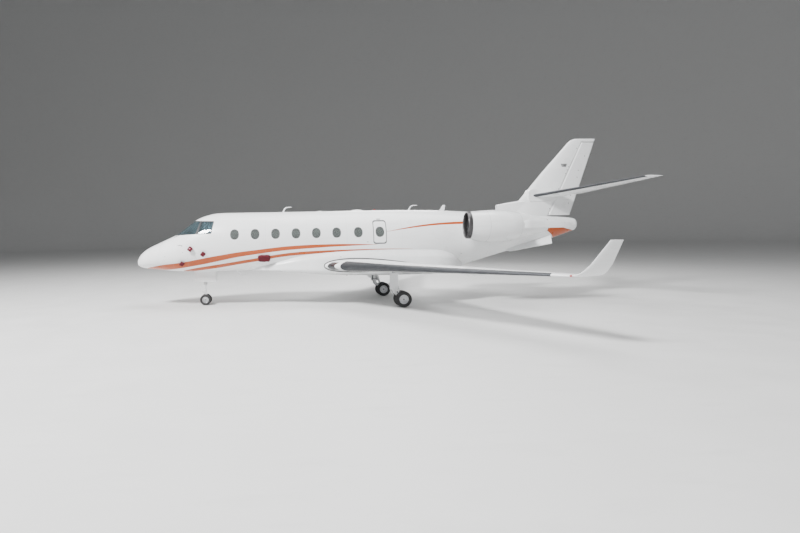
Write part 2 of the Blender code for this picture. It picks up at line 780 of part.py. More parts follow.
def wing_line(line, out):
    (a_out, a_x), (b_out, b_x) = line
    return a_x + (b_x - a_x) * (out - a_out) / (b_out - a_out)


def foil_half(share, ratio):
    """Half thickness of the aerofoil at a share of the chord, over the chord."""
    c = max(0.0, min(1.0, share))
    return (
        5 * ratio * (0.2969 * math.sqrt(c) - 0.126 * c - 0.3516 * c**2 + 0.2843 * c**3 - 0.1036 * c**4)
        + 0.0022 * c
    )


def foil_point(table, side, out, share, upper, camber=WING_CAMBER):
    """A point on a lifting surface's upper (1) or lower (-1) skin."""
    front, rear, z_front, z_rear, ratio = (mix(table, out, column) for column in range(1, 6))
    chord = rear - front
    height = (upper * foil_half(share, ratio) + camber * 4 * share * (1 - share)) * chord
    return at(front + share * chord, side * out, z_front + (z_rear - z_front) * share + height)


def share_of(table, out, station):
    front, rear = mix(table, out, 1), mix(table, out, 2)
    return (station - front) / (rear - front)


def spaced(low, high, count, crowd=1.0):
    return [low + (high - low) * (k / (count - 1)) ** crowd for k in range(count)]


def foil_ring(table, side, out, camber=WING_CAMBER, count=10):
    """Whole section of a lifting surface, with a blunt trailing edge."""
    shares = spaced(0.0, 1.0, count, 1.6)
    upper = [foil_point(table, side, out, s, 1, camber) for s in shares]
    lower = [foil_point(table, side, out, s, -1, camber) for s in shares]
    return upper + lower[:0:-1]


def plan_prism(name, side, corners, low=1.0, high=5.5):
    """Plan outline of (station, distance out) corners extruded upwards."""
    return loft(name, [[at(x, side * out, z) for x, out in corners] for z in (low, high)])


def rear_bay(side, span, line, back=0.9):
    """Cutter for the bay of a flap, an aileron or an elevator."""
    (inner, outer), ahead = span, 0.010
    corners = [(wing_line(line, out) - ahead, out) for out in (inner, outer)]
    corners += [(wing_line(line, outer) + back, outer), (wing_line(line, inner) + 2 * back, inner)]
    return plan_prism("rear bay", side, corners)


def front_bay(side, inset=0.0):
    """Plan of a slat, or of its bay, with ends square to its rear edge so that it can swing out."""
    (out_in, x_in), (out_out, x_out) = SLAT_REAR
    along = Vector((x_out - x_in, out_out - out_in)).normalized()
    forward = Vector((-along.y, along.x))
    first = Vector((x_in, out_in)) + along * inset + forward * (inset - SLAT_GAP)
    last = Vector((x_out, out_out)) - along * inset + forward * (inset - SLAT_GAP)
    reach = forward * 1.2
    return plan_prism("front bay", side, [first, last, last + reach, first + reach])


def spoiler_sheet(name, side, span, ahead, behind, above, below):
    """A sheet following the wing's upper skin just ahead of the flap bay."""
    rings = []
    outs = [span[0], *(row[0] for row in WING if span[0] < row[0] < span[1]), span[1]]
    for out in outs:
        line = wing_line(FLAP_FRONT, out)
        first = share_of(WING, out, line - SPOILER_CHORD + ahead)
        last = share_of(WING, out, line + behind)
        top = [foil_point(WING, side, out, s, 1) for s in spaced(first, last, 5)]
        over, under = Vector((0, 0, above)), Vector((0, 0, -below))
        rings.append([p + over for p in top] + [p + under for p in reversed(top)])
    return loft(name, rings)


def whole_wing(name, side):
    return loft(name, [foil_ring(WING, side, row[0]) for row in WING])


def build_wing(side, word):
    wing = whole_wing(f"wing_{word}", side)
    cut(
        wing,
        front_bay(side),
        rear_bay(side, (WING[0][0] - 0.05, FLAP_SPAN[1]), FLAP_FRONT),
        rear_bay(side, AILERON_SPAN, AILERON_FRONT),
        spoiler_sheet("spoiler bay", side, SPOILER_SPAN, 0.0, 0.05, 0.05, SPOILER_THICK + 0.010),
    )
    first, last, inner, outer, depth = MAIN_BAY
    low, high = sorted((side * inner, side * outer))
    bottom = foil_point(WING, side, MAIN_OUT, share_of(WING, MAIN_OUT, MAIN_LEG), -1).z
    cut(wing, block("leg bay", (first, low, bottom - 0.3), (last, high, bottom + depth)))
    for out in FAIRING_OUT:
        join(wing, fixed_cover(side, out))
    x, out = WING_JACK
    skin = foil_point(WING, side, out, share_of(WING, out, x), -1)
    join(wing, jack_pad(skin))
    for out in SLAT_STOPS:
        join(wing, slat_stop(side, out))
    for out in SPOILER_STOPS:
        span = (out - 0.02, out + 0.02)
        top, below = -SPOILER_THICK - 3 * GAP, SPOILER_THICK + 0.03
        join(wing, spoiler_sheet("stop", side, span, 0.20, -0.06, top, below))
    build_slat(side, word)
    build_flap(side, word, wing)
    build_aileron(side, word, wing)
    build_spoiler(side, word)
    build_winglet(side, word)
    finish(wing, PAINT)


def control_ring(table, side, out, front, camber, nose=0.5):
    """Section of a hinged surface from its rounded nose to the trailing edge."""
    top, low = (foil_point(table, side, out, front, u, camber) for u in (1, -1))
    half = (top - low).length / 2
    middle = (top + low) / 2
    ahead = Vector((-nose * half, 0, 0))
    ring = [middle + ahead, middle.lerp(top, 0.62) + ahead * 0.75]
    ring += [foil_point(table, side, out, s, 1, camber) for s in spaced(front, 1.0, 5)]
    ring += [foil_point(table, side, out, s, -1, camber) for s in reversed(spaced(front, 1.0, 5))]
    ring.append(middle.lerp(low, 0.62) + ahead * 0.75)
    return ring


def hinge_point(table, side, out, line, camber, drop=0.0):
    share = share_of(table, out, wing_line(line, out))
    top, low = (foil_point(table, side, out, share, u, camber) for u in (1, -1))
    return (top + low) / 2 - Vector((0, 0, drop))


def slat_axis(side):
    """The line under its rear edge that a slat's curved tracks turn it about."""
    return [at(x, side * out, mix(WING, out, 3) - SLAT_DROP) for out, x in SLAT_REAR]


def slat_stop(side, out):
    """Pad on the wing's front that the closed slat rests against."""
    inner, outer = out - 0.03, out + 0.03
    pad = whole_wing("slat stop", side)
    corners = [(wing_line(SLAT_REAR, y) + GAP, y) for y in (inner, outer)]
    corners += [(wing_line(SLAT_REAR, y) + 0.03, y) for y in (outer, inner)]
    keep(pad, plan_prism("stop plan", side, corners))
    low = foil_point(WING, side, out, 0.10, -1).z + 0.012
    high = foil_point(WING, side, out, 0.10, 1).z - 0.012
    x = wing_line(SLAT_REAR, out)
    return keep(pad, block("stop height", (x - 0.2, min(side * inner, side * outer) - 0.1, low),
                           (x + 0.3, max(side * inner, side * outer) + 0.1, high)))


def build_slat(side, word):
    slat = whole_wing(f"slat_{word}", side)
    finish(keep(slat, front_bay(side, SLAT_GAP)), BARE, slat_axis(side)[0])


def flap_axis(side):
    ahead = Vector((-FLAP_AHEAD, 0, 0))
    return [hinge_point(WING, side, out, FLAP_FRONT, WING_CAMBER, FLAP_DROP) + ahead for out in FLAP_SPAN]


def on_axis(axis, side, out):
    """The point of a hinge axis at a distance out."""
    start, end = axis
    return start.lerp(end, (side * out - start.y) / (end.y - start.y))


def build_flap(side, word, wing):
    rings = []
    for out in (FLAP_SPAN[0] + 0.012, WING[1][0], FLAP_SPAN[1] - 0.012):
        front = share_of(WING, out, wing_line(FLAP_FRONT, out) + 0.075)
        rings.append(control_ring(WING, side, out, front, WING_CAMBER, 0.45))
    flap = loft(f"flap_{word}", rings)
    axis = flap_axis(side)
    for out in FAIRING_OUT:
        join(flap, moving_cover(side, out))
        point = on_axis(axis, side, out + ARM_OFFSET)
        flap_hinge(flap, wing, point, (axis[1] - axis[0]).normalized())
    finish(flap, PAINT, axis[0])


def flap_hinge(flap, wing, point, along):
    """An arm from the flap's cover forward to a pin in the wing's, in a slot open below."""
    back = Vector((0, 0, 1)).cross(along).normalized()
    back = back if back.x > 0 else -back
    top = point + Vector((0, 0, LUG_TALL + 0.010))
    down = Vector((0, 0, -0.12))
    across = along * (LUG_HALF + RUN)
    ends = (top - back * 0.032, top + back * 0.25)
    cut(wing, loft("slot", [[p + across, p - across, p - across + down, p + across + down] for p in ends]))
    join(wing, rod("pin", point - along * 0.030, point + along * 0.030, PIN_RADIUS, PIN_STEPS))
    root = point + back * (FLAP_AHEAD + 0.14)
    arm = beam("arm", root, point, along, LUG_HALF, LUG_TALL)
    join(flap, eyed(arm, point, along))


def track_cover(side, out, rows):
    """Half of a canoe-shaped flap track cover: rows of station, width, depth and rise into the skin."""
    rings = []
    for x, width, depth, rise in rows:
        share = min(0.97, share_of(WING, out, x))
        top = foil_point(WING, side, out, share, -1).z + rise
        ring = []
        for j in range(COVER_STEPS):
            angle = 2 * math.pi * j / COVER_STEPS
            ring.append(at(x, side * out + width * math.cos(angle), top - depth / 2 * (1 - math.sin(angle))))
        rings.append(ring)
    return loft("flap track cover", rings)


def fixed_cover(side, out):
    line = wing_line(FLAP_FRONT, out)
    rows = (
        (line - 0.62, 0.012, 0.03, 0.02), (line - 0.45, 0.042, 0.08, 0.02),
        (line - 0.20, 0.066, 0.14, 0.02), (line - 0.03, 0.070, 0.155, 0.02),
    )
    return track_cover(side, out, rows)


def moving_cover(side, out):
    line, rear = wing_line(FLAP_FRONT, out), mix(WING, out, 2)
    rows = (
        (line + 0.10, 0.070, 0.165, 0.02), (line + 0.10 + 0.5 * (rear - line), 0.058, 0.13, 0.015),
        (rear + 0.12, 0.010, 0.03, -0.010),
    )
    return track_cover(side, out, rows)


def aileron_axis(side):
    behind = Vector((HINGE_BACK, 0, 0))
    return [hinge_point(WING, side, out, AILERON_FRONT, WING_CAMBER) + behind for out in AILERON_SPAN]


def build_aileron(side, word, wing):
    rings = []
    for out in (AILERON_SPAN[0] + 0.014, AILERON_SPAN[1] - 0.014):
        front = share_of(WING, out, wing_line(AILERON_FRONT, out) + HINGE_BACK)
        rings.append(control_ring(WING, side, out, front, WING_CAMBER, 0.6))
    aileron = loft(f"aileron_{word}", rings)
    hang(aileron, wing, aileron_axis(side), side, AILERON_HINGES)
    finish(aileron, PAINT, aileron_axis(side)[0])


def hang(moving, fixed, axis, side, outs):
    """Hinges at some distances out, with their lugs rooted straight ahead of the axis."""
    along = (axis[1] - axis[0]).normalized()
    ahead = along.cross(Vector((0, 0, 1))).normalized()
    ahead = ahead if ahead.x < 0 else -ahead
    for out in outs:
        point = on_axis(axis, side, out)
        hinge(fixed, moving, point, along, point + ahead * (HINGE_BACK + 0.05))


def spoiler_axis(side):
    return [
        foil_point(WING, side, out, share_of(WING, out, wing_line(FLAP_FRONT, out) - SPOILER_CHORD), 1)
        for out in SPOILER_SPAN
    ]


def build_spoiler(side, word):
    inner, outer = SPOILER_SPAN
    span = (inner + 0.012, outer - 0.012)
    spoiler = spoiler_sheet(f"spoiler_{word}", side, span, 0.008, -0.012, 0.0, SPOILER_THICK)
    finish(spoiler, PAINT, spoiler_axis(side)[0])


def build_winglet(side, word):
    rings = []
    for k, (out, front, rear, height, thick) in enumerate(WINGLET):
        before = WINGLET[max(k - 1, 0)]
        after = WINGLET[min(k + 1, len(WINGLET) - 1)]
        lean = Vector((0, side * (after[0] - before[0]), after[3] - before[3])).normalized()
        across = Vector((0, -side * lean.z, abs(lean.y))) if k else Vector((0, 0, 1))
        ring = []
        for upper in (1, -1):
            shares = spaced(0.0, 1.0, 8, 1.5)
            for s in shares if upper > 0 else shares[:0:-1]:
                half = foil_half(s, 0.10) / foil_half(0.3, 0.10) * thick / 2
                ring.append(at(front + s * (rear - front), side * out, height) + across * upper * half)
        rings.append(ring)
    finish(loft(f"winglet_{word}", rings), PAINT)


# Tail

def fin_half(share, half):
    return half * foil_half(share, 0.1) / foil_half(0.3, 0.1) + 0.002


def fin_ring(height, first, last, nose=0.0):
    """Section of the fin between two stations at one height; a nose rounds its front."""
    front, rear, half = (mix(FIN, height, column) for column in (1, 2, 3))
    chord = rear - front
    shares = spaced((first - front) / chord, (last - front) / chord, 8, 1.0 if nose else 1.7)
    ring = [at(front + s * chord, fin_half(s, half), height) for s in shares]
    ring += [at(front + s * chord, -fin_half(s, half), height) for s in reversed(shares)]
    if nose:
        wide = fin_half(shares[0], half)
        ring = [at(first - nose * wide, y * wide, height) for y in (-0.5, 0.5)] + ring
    return ring


def rudder_line(height):
    (x0, z0), (x1, z1) = RUDDER_HINGE
    return x0 + (x1 - x0) * (height - z0) / (z1 - z0)


def build_fin():
    heights = (3.20, 4.03, 5.2, 6.30, 6.46, 6.53)
    fin = loft("fin", [fin_ring(z, mix(FIN, z, 1), mix(FIN, z, 2)) for z in heights])
    top_rudder = RUDDER_HINGE[1][1]
    bay_top = top_rudder + RUDDER_TOP_GAP
    bay = [(rudder_line(z) - RUDDER_AHEAD, z) for z in (3.0, bay_top)] + [(19.5, bay_top), (19.5, 3.0)]
    dorsal = loft(
        "dorsal",
        [
            [at(x, y, z) for y, z in rounded(-half, half, low, high, half * 0.8, 3)]
            for x, half, low, high in DORSAL
        ],
    )
    front = DORSAL[0]
    mouth = block("mouth", (front[0] - 0.1, -0.055, 3.70), (front[0] + 0.12, 0.055, front[3] - 0.035))
    join(fin, cut(dorsal, mouth), seal_plate())
    cut(fin, side_prism("rudder bay", bay, 1, -0.4, 0.4))
    cut(fin, hull_solid("hull cutter", 13.70, HULL[-1][0], -GAP))
    x, z = TAIL_PIVOT
    hole = rod("tube hole", at(x, -0.3, z), at(x, 0.3, z), running_bore(TAIL_TUBE, 16), 16)
    cut(fin, half_stepped(hole, at(x, 0, z), 16, "Y"))
    rudder = build_rudder(top_rudder)
    start, end = rudder_axis()
    along = (end - start).normalized()
    ahead = Vector((-along.z, 0, along.x))
    for height in RUDDER_HINGES:
        point = start.lerp(end, (height - start.z) / (end.z - start.z))
        hinge(fin, rudder, point, along, point + ahead * 0.09)
    finish(rudder, PAINT, start)
    finish(fin, PAINT)


def seal_plate():
    first, last, low, high, half = SEAL_PLATE
    outline = rounded(first, last, low, high, 0.16)
    return loft("seal plate", [[at(x, out, z) for x, z in outline] for out in (-half, half)])


def rudder_axis():
    return [at(x, 0, z) for x, z in RUDDER_HINGE]


def build_rudder(top):
    rings = []
    for height in (RUDDER_HINGE[0][1], 4.03, 5.2, 6.30, top):
        line = rudder_line(height)
        rings.append(fin_ring(height, line + RUDDER_BACK, mix(FIN, height, 2), nose=0.45))
    return loft("rudder", rings)


def tail_table():
    return [(out, front, rear, z, z, ratio) for out, front, rear, z, ratio in TAILPLANE]


def build_tailplane():
    table = tail_table()
    root, tip = table[0][0], table[-1][0]
    elevator_in, elevator_out = ELEVATOR_FRONT[0][0], ELEVATOR_FRONT[1][0]
    halves = []
    for side, _ in SIDES:
        half = loft("tailplane half", [foil_ring(table, side, out, 0) for out in (root, tip)])
        corner = plan_prism("corner", side, RUDDER_ROOM)
        halves.append(cut(half, rear_bay(side, (0.1, elevator_out), ELEVATOR_FRONT), corner))
    x, z = TAIL_PIVOT
    tailplane = rod("tailplane", at(x, -0.5, z), at(x, 0.5, z), TAIL_TUBE, 16)
    join(tailplane, *halves)
    for side, word in SIDES:
        rings = []
        for out in (elevator_in + 0.016, elevator_out - 0.016):
            front = share_of(table, out, wing_line(ELEVATOR_FRONT, out) + HINGE_BACK)
            rings.append(control_ring(table, side, out, front, 0, 0.6))
        elevator = loft(f"elevator_{word}", rings)
        hang(elevator, tailplane, elevator_axis(side), side, ELEVATOR_HINGES)
        finish(elevator, BARE, elevator_axis(side)[0])
    finish(tailplane, BARE, at(x, 0, z))


def elevator_axis(side):
    behind = Vector((HINGE_BACK, 0, 0))
    return [hinge_point(tail_table(), side, out, ELEVATOR_FRONT, 0) + behind for out, _ in ELEVATOR_FRONT]


# Engines

def engine_centre(side):
    return at(0, side * ENGINE_OUT, ENGINE_HEIGHT)


def nacelle_solid(name, side, grow=0.0):
    """The nacelle's outer skin as a full body, for trimming what meets it."""
    profile = [(x, r + grow) for x, r in COWL]
    rings = []
    centre = engine_centre(side)
    for x, r in profile:
        rings.append(
            [
                centre + Vector((x, r * math.cos(a), r * math.sin(a)))
                for a in (2 * math.pi * (k + 0.5) / ENGINE_STEPS for k in range(ENGINE_STEPS))
            ]
        )
    return loft(name, rings)


def engine_turned(name, side, profile, steps=ENGINE_STEPS):
    centre = engine_centre(side)
    return half_stepped(turned(name, profile, centre, steps), centre, steps, "X")


def build_engine(side, word):
    centre = engine_centre(side)
    nacelle = engine_turned(f"nacelle_{word}", side, COWL + DUCT)
    first, last, tall, end = STANG
    rings = []
    rows = (
        (first, tall * 0.5, 0.012), (first + 0.2, tall, 0.030), (15.45, tall * 0.86, 0.050),
        (last, end, 0.020),
    )
    for x, half, proud in rows:
        skin = mix(COWL, min(x, 15.3), 1)
        middle = ENGINE_HEIGHT + 0.02
        inner, outer = skin - 0.045, skin + proud
        section = ((inner, -half), (outer, -half * 0.72), (outer, half * 0.72), (inner, half))
        rings.append([at(x, side * (ENGINE_OUT + y), middle + z) for y, z in section])
    join(nacelle, loft("side fairing", rings))
    finish(nacelle, PAINT)
    finish(engine_turned(f"inlet_lip_{word}", side, LIP), LIP_METAL)

    fan_x = FAN_STATION
    fan = hub_solid(
        f"fan_{word}",
        centre,
        (
            (fan_x - 0.16, 0.008), (fan_x - 0.12, 0.06), (fan_x - 0.05, 0.11), (fan_x + 0.10, 0.15),
            (fan_x + 0.12, SHAFT_RADIUS), (fan_x + 0.28, SHAFT_RADIUS),
        ),
    )
    blades = [fan_blade(centre, k) for k in range(FAN_BLADES)]
    half_stepped(join(fan, *blades), centre, HUB_STEPS, "X")
    finish(fan, FAN_METAL, centre + Vector((fan_x, 0, 0)))

    socket = running_bore(SHAFT_RADIUS, HUB_STEPS)
    core = hub_solid(
        f"engine_core_{word}",
        centre,
        (
            (CORE_FRONT + 0.12, socket), (CORE_FRONT, socket), (CORE_FRONT, 0.16),
            (CORE_FRONT + 0.15, CORE_RADIUS), (14.7, CORE_RADIUS),
            (CORE_REAR, 0.19), (CORE_REAR + 0.32, 0.02),
        ),
    )
    for k in range(6):
        angle = math.pi * (k + 0.55) / 3
        vane = block("vane", (13.52, -0.012, 0.12), (13.70, 0.012, VANE_REACH))
        vane.data.transform(Matrix.Translation((MIDDLE, 0, 0)))
        vane.data.transform(Matrix.Translation(centre) @ Matrix.Rotation(angle, 4, "X"))
        join(core, vane)
    finish(core, HOT_METAL)


def hub_solid(name, centre, profile, steps=HUB_STEPS):
    """A full body of revolution along the engine's axis."""
    rings = [
        [
            centre + Vector((x, r * math.cos(a), r * math.sin(a)))
            for a in (2 * math.pi * k / steps for k in range(steps))
        ]
        for x, r in profile
    ]
    return loft(name, rings)


def fan_blade(centre, index):
    """A twisted blade plate from the hub to the tip."""
    around = Matrix.Rotation(2 * math.pi * index / FAN_BLADES, 4, "X")
    middle = centre + Vector((FAN_STATION, 0, 0))
    rings = []
    for radius, pitch, chord, thick in BLADE:
        c, s = math.cos(math.radians(pitch)), math.sin(math.radians(pitch))
        ring = []
        for along, across in ((-0.5, 0), (0, 0.5), (0.5, 0), (0, -0.5)):
            a, b = along * chord, across * thick
            ring.append(middle + around @ Vector((a * c - b * s, a * s + b * c, radius)))
        rings.append(ring)
    return loft("blade", rings)


# Landing gear

def tyre(name, centre, radius, width):
    """A full-section tyre with a rounded shoulder."""
    half, rim = width / 2, radius * TYRE_BORE
    bulge, shoulder = rim + 0.35 * (radius - rim), radius - 0.20 * (radius - rim)
    profile = (
        (-half * 0.78, rim), (-half, bulge), (-half * 0.88, shoulder), (-half * 0.50, radius),
        (half * 0.50, radius), (half * 0.88, shoulder), (half, bulge), (half * 0.78, rim),
    )
    return half_stepped(turned(name, profile, centre, WHEEL_STEPS, "Y"), centre, WHEEL_STEPS, "Y")


def hubs(name, centre, radius, width, spread):
    """Both wheels of a pair and the axle between them, as one turned body."""
    rim, half = radius * TYRE_BORE - GAP, width / 2
    edge, dish, axle = half * 0.74, rim * 0.62, radius * AXLE_SHARE
    profile = (
        (-spread - half * 0.55, axle), (-spread - half * 0.35, dish),
        (-spread - edge, rim), (-spread + edge, rim),
        (-spread + half * 0.4, axle), (spread - half * 0.4, axle),
        (spread - edge, rim), (spread + edge, rim),
        (spread + half * 0.35, dish), (spread + half * 0.55, axle),
    )
    rings = []
    for y, r in profile:
        angles = (2 * math.pi * (k + 0.5) / WHEEL_STEPS for k in range(WHEEL_STEPS))
        rings.append([centre + Vector((r * math.cos(a), y, r * math.sin(a))) for a in angles])
    return loft(name, rings)


def axle_bore(centre, radius):
    """Cutter for the hole in a leg that an axle turns in."""
    reach = Vector((0, 0.2, 0))
    bore = running_bore(radius * AXLE_SHARE, WHEEL_STEPS)
    return rod("axle bore", centre - reach, centre + reach, bore, WHEEL_STEPS)


def build_nose_gear():
    x, z = NOSE_AXLE
    radius, width, spread = NOSE_WHEEL
    first, last, half = NOSE_BAY
    leg = rod("nose_leg", at(x, 0, 0.93), at(x, 0, NOSE_TOP + 0.0097), 0.065, 16)
    trunnion = rod("trunnion", at(x, -0.20, 1.50), at(x, 0.20, 1.50), 0.045, 12)
    drag = rod("drag stay", at(x, 0, 1.05), at(x + 0.34, 0, NOSE_TOP - 0.02), 0.032, 10)
    head = block("stay head", (x + 0.27, -0.05, NOSE_TOP - 0.08), (x + 0.40, 0.05, NOSE_TOP + 0.0097))
    finish(join(leg, trunnion, drag, head), LEG_PAINT)

    fork = rod("nose_fork", at(x, 0, z - 0.02), at(x, 0, 0.9296), 0.040, 16)
    collar = rod("steering collar", at(x, 0, 0.845), at(x, 0, 0.922), 0.075, 16)
    crown = block("fork crown", (x - 0.05, -0.032, z - 0.045), (x + 0.05, 0.032, z + 0.30))
    link = block("torque link", (x - 0.16, -0.018, 0.50), (x - 0.02, 0.018, 0.56))
    centre = at(x, 0, z)
    eye = rod("axle eye", centre - Vector((0, 0.038, 0)), centre + Vector((0, 0.038, 0)), 0.078, 20)
    finish(cut(join(fork, collar, crown, eye, link), axle_bore(centre, radius)), LEG_PAINT, at(x, 0, 0.90))
    finish(hubs("nose_hubs", centre, radius, width, spread), ALLOY, centre)
    for side, word in SIDES:
        finish(tyre(f"nose_tyre_{word}", at(x, side * spread, z), radius, width), RUBBER, centre)
        door = block(
            f"nose_gear_door_{word}",
            (first + 0.02, side * (half - 0.010) - 0.010 + GAP, 0.98),
            (last - 0.02, side * (half - 0.010) + 0.010 - GAP, hull_bottom_at(x, half) + 0.05),
        )
        finish(door, PAINT)


def hull_bottom_at(station, out):
    half, top, bottom = (mix(HULL, station, column) for column in (1, 2, 3))
    return (top + bottom) / 2 - (top - bottom) / 2 * math.sqrt(1 - (out / half) ** 2)


def build_main_gear(side, word):
    x, z = MAIN_AXLE
    out = side * MAIN_OUT
    radius, width, spread = MAIN_WHEEL
    bay_top = foil_point(WING, side, MAIN_OUT, share_of(WING, MAIN_OUT, MAIN_LEG), -1).z + MAIN_BAY[-1]
    foot, head = at(MAIN_LEG, out, MAIN_ELBOW - 0.06), at(MAIN_LEG, out, bay_top - GAP)
    leg = rod(f"main_leg_{word}", foot, head, 0.068, 16)
    knee, wide = at(MAIN_LEG, out, MAIN_ELBOW), Vector((0, 0.055, 0))
    elbow = rod("elbow", knee - wide, knee + wide, 0.085, 16)
    outline = (
        (MAIN_LEG - 0.02, MAIN_ELBOW + 0.06), (MAIN_LEG, MAIN_ELBOW - 0.08),
        (x - 0.02, z - 0.06), (x + 0.06, z + 0.01), (x + 0.02, z + 0.09),
    )
    arm = loft("trailing arm", [[at(px, out + y, pz) for px, pz in outline] for y in (-0.042, 0.042)])
    shock = rod("shock strut", at(x - 0.06, out, z + 0.07), at(MAIN_LEG + 0.04, out, 1.12), 0.040, 12)
    brace = rod("side stay", at(MAIN_LEG, out, 1.02), at(MAIN_LEG, side * 1.46, bay_top - 0.02), 0.030, 10)
    centre = at(x, out, z)
    eye = rod("axle eye", centre - Vector((0, 0.046, 0)), centre + Vector((0, 0.046, 0)), 0.100, 20)
    low, high = sorted((out + side * 0.095, out + side * 0.12))
    panel = block("leg door", (MAIN_LEG - 0.15, low, 0.68), (MAIN_LEG + 0.17, high, 1.30))
    lugs = block("door lug", (MAIN_LEG - 0.02, min(out, high), 0.90), (MAIN_LEG + 0.02, max(out, low), 0.94))
    cut(join(leg, elbow, arm, eye, shock, brace, lugs, panel), axle_bore(centre, radius))
    finish(leg, LEG_PAINT)
    finish(hubs(f"main_hubs_{word}", centre, radius, width, spread), ALLOY, centre)
    for place, end in ((-1, "inner"), (1, "outer")):
        middle = at(x, out + side * place * spread, z)
        finish(tyre(f"main_tyre_{word}_{end}", middle, radius, width), RUBBER, centre)


def main():
    clear_scene()
    entry = build_hull()
    build_cabin_glazing()
    baggage = build_doors(entry)
    build_aft_hull(baggage)
    build_belly()
    build_interior()
    for side, word in SIDES:
        build_wing(side, word)
        build_engine(side, word)
        build_main_gear(side, word)
    build_fin()
    build_tailplane()
    build_nose_gear()


main()
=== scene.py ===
"""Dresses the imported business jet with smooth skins, paint, glazing, gear detail, light and a camera."""

import logging
import math
from dataclasses import dataclass, field
from enum import Enum
from typing import Callable, Iterable, Sequence

import bmesh
import bpy
from mathutils import Matrix, Vector


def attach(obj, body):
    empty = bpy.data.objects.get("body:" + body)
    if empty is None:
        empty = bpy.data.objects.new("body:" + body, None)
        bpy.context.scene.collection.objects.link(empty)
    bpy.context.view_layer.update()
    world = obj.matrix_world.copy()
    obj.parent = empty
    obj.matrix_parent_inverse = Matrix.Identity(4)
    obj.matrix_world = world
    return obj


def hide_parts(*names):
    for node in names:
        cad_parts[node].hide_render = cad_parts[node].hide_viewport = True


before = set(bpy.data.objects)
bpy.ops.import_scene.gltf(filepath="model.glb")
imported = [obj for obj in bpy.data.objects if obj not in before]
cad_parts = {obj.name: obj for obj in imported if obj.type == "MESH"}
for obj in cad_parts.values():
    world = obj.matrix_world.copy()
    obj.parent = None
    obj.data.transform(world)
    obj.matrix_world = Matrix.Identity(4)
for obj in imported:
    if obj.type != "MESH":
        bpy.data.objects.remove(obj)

LOG = logging.getLogger("jet")
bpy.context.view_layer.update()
Table = tuple[tuple[float, ...], ...]
Outline = Sequence[tuple[float, float]]
Ring = list[Vector]
Piece = bpy.types.Object
Tree = bpy.types.NodeTree
Socket = bpy.types.NodeSocket

MIDDLE = 18.97 / 2
AIRFRAME = "airframe"

HULL: Table = (
    (0.00, 0.012, 1.790, 1.770), (0.03, 0.105, 1.915, 1.690), (0.09, 0.195, 2.030, 1.640),
    (0.20, 0.315, 2.160, 1.592), (0.35, 0.430, 2.285, 1.560), (0.60, 0.565, 2.430, 1.530),
    (0.84, 0.670, 2.538, 1.503), (1.08, 0.755, 2.645, 1.475), (1.34, 0.830, 2.757, 1.447),
    (1.66, 0.910, 2.913, 1.420), (2.05, 0.985, 3.195, 1.400), (2.43, 1.045, 3.465, 1.393),
    (2.82, 1.092, 3.632, 1.393), (3.30, 1.140, 3.728, 1.393), (3.80, 1.170, 3.744, 1.393),
    (4.30, 1.175, 3.744, 1.393), (10.20, 1.175, 3.744, 1.393), (11.20, 1.168, 3.732, 1.393),
    (12.20, 1.148, 3.705, 1.393), (13.00, 1.118, 3.662, 1.400), (13.70, 1.055, 3.618, 1.560),
    (14.50, 0.935, 3.570, 1.785), (15.40, 0.765, 3.510, 2.035), (16.30, 0.580, 3.440, 2.270),
    (17.20, 0.385, 3.370, 2.505), (17.83, 0.240, 3.318, 2.720), (18.07, 0.180, 3.265, 2.805),
    (18.13, 0.120, 3.195, 2.875),
)
WALL = 0.085
NOSE_JOINT, DOOR_JOINT, CABIN_JOINT, AFT_JOINT, CONE_JOINT = 1.08, 3.30, 4.45, 11.20, 16.90
JOINT_GAP = 0.0005
PAST_MIDDLE = 0.8
BELLY: Table = (
    (4.70, 0.42, 1.390, 1.500), (5.20, 0.72, 1.378, 1.640), (5.90, 0.98, 1.335, 1.820),
    (6.70, 1.160, 1.262, 2.010), (7.45, 1.267, 1.205, 2.100), (8.40, 1.267, 1.150, 2.160),
    (9.80, 1.267, 1.122, 2.173), (11.20, 1.267, 1.119, 2.173), (11.90, 1.267, 1.122, 2.150),
    (12.30, 1.200, 1.170, 2.080), (12.70, 1.020, 1.270, 1.900), (13.10, 0.640, 1.390, 1.600),
)
WINDOW_STATIONS = (4.064, 4.853, 5.641, 6.430, 7.218, 8.006, 8.847, 9.688)
WINDOW_HEIGHT = 2.862
SCREEN_OUTLINE: Table = ((1.46, 2.860), (2.565, 2.895), (2.715, 3.425), (2.36, 3.440), (1.46, 3.250))
SIDE_WINDOW_OUTLINE: Table = ((2.600, 2.898), (3.17, 2.905), (3.26, 3.400), (2.748, 3.420))
POST_OUTLINE: Table = ((2.556, 2.892), (2.614, 2.894), (2.762, 3.420), (2.704, 3.422))
ENTRY_DOOR = (3.42, 4.22, 1.66, 3.30, 0.12)
EXIT_HATCH = (9.438, 9.938, 2.406, 3.308, 0.09)
BAGGAGE_DOOR = (11.72, 12.44, 2.22, 2.96, 0.08)
NOSE_BAY = (2.30, 3.20, 0.235)

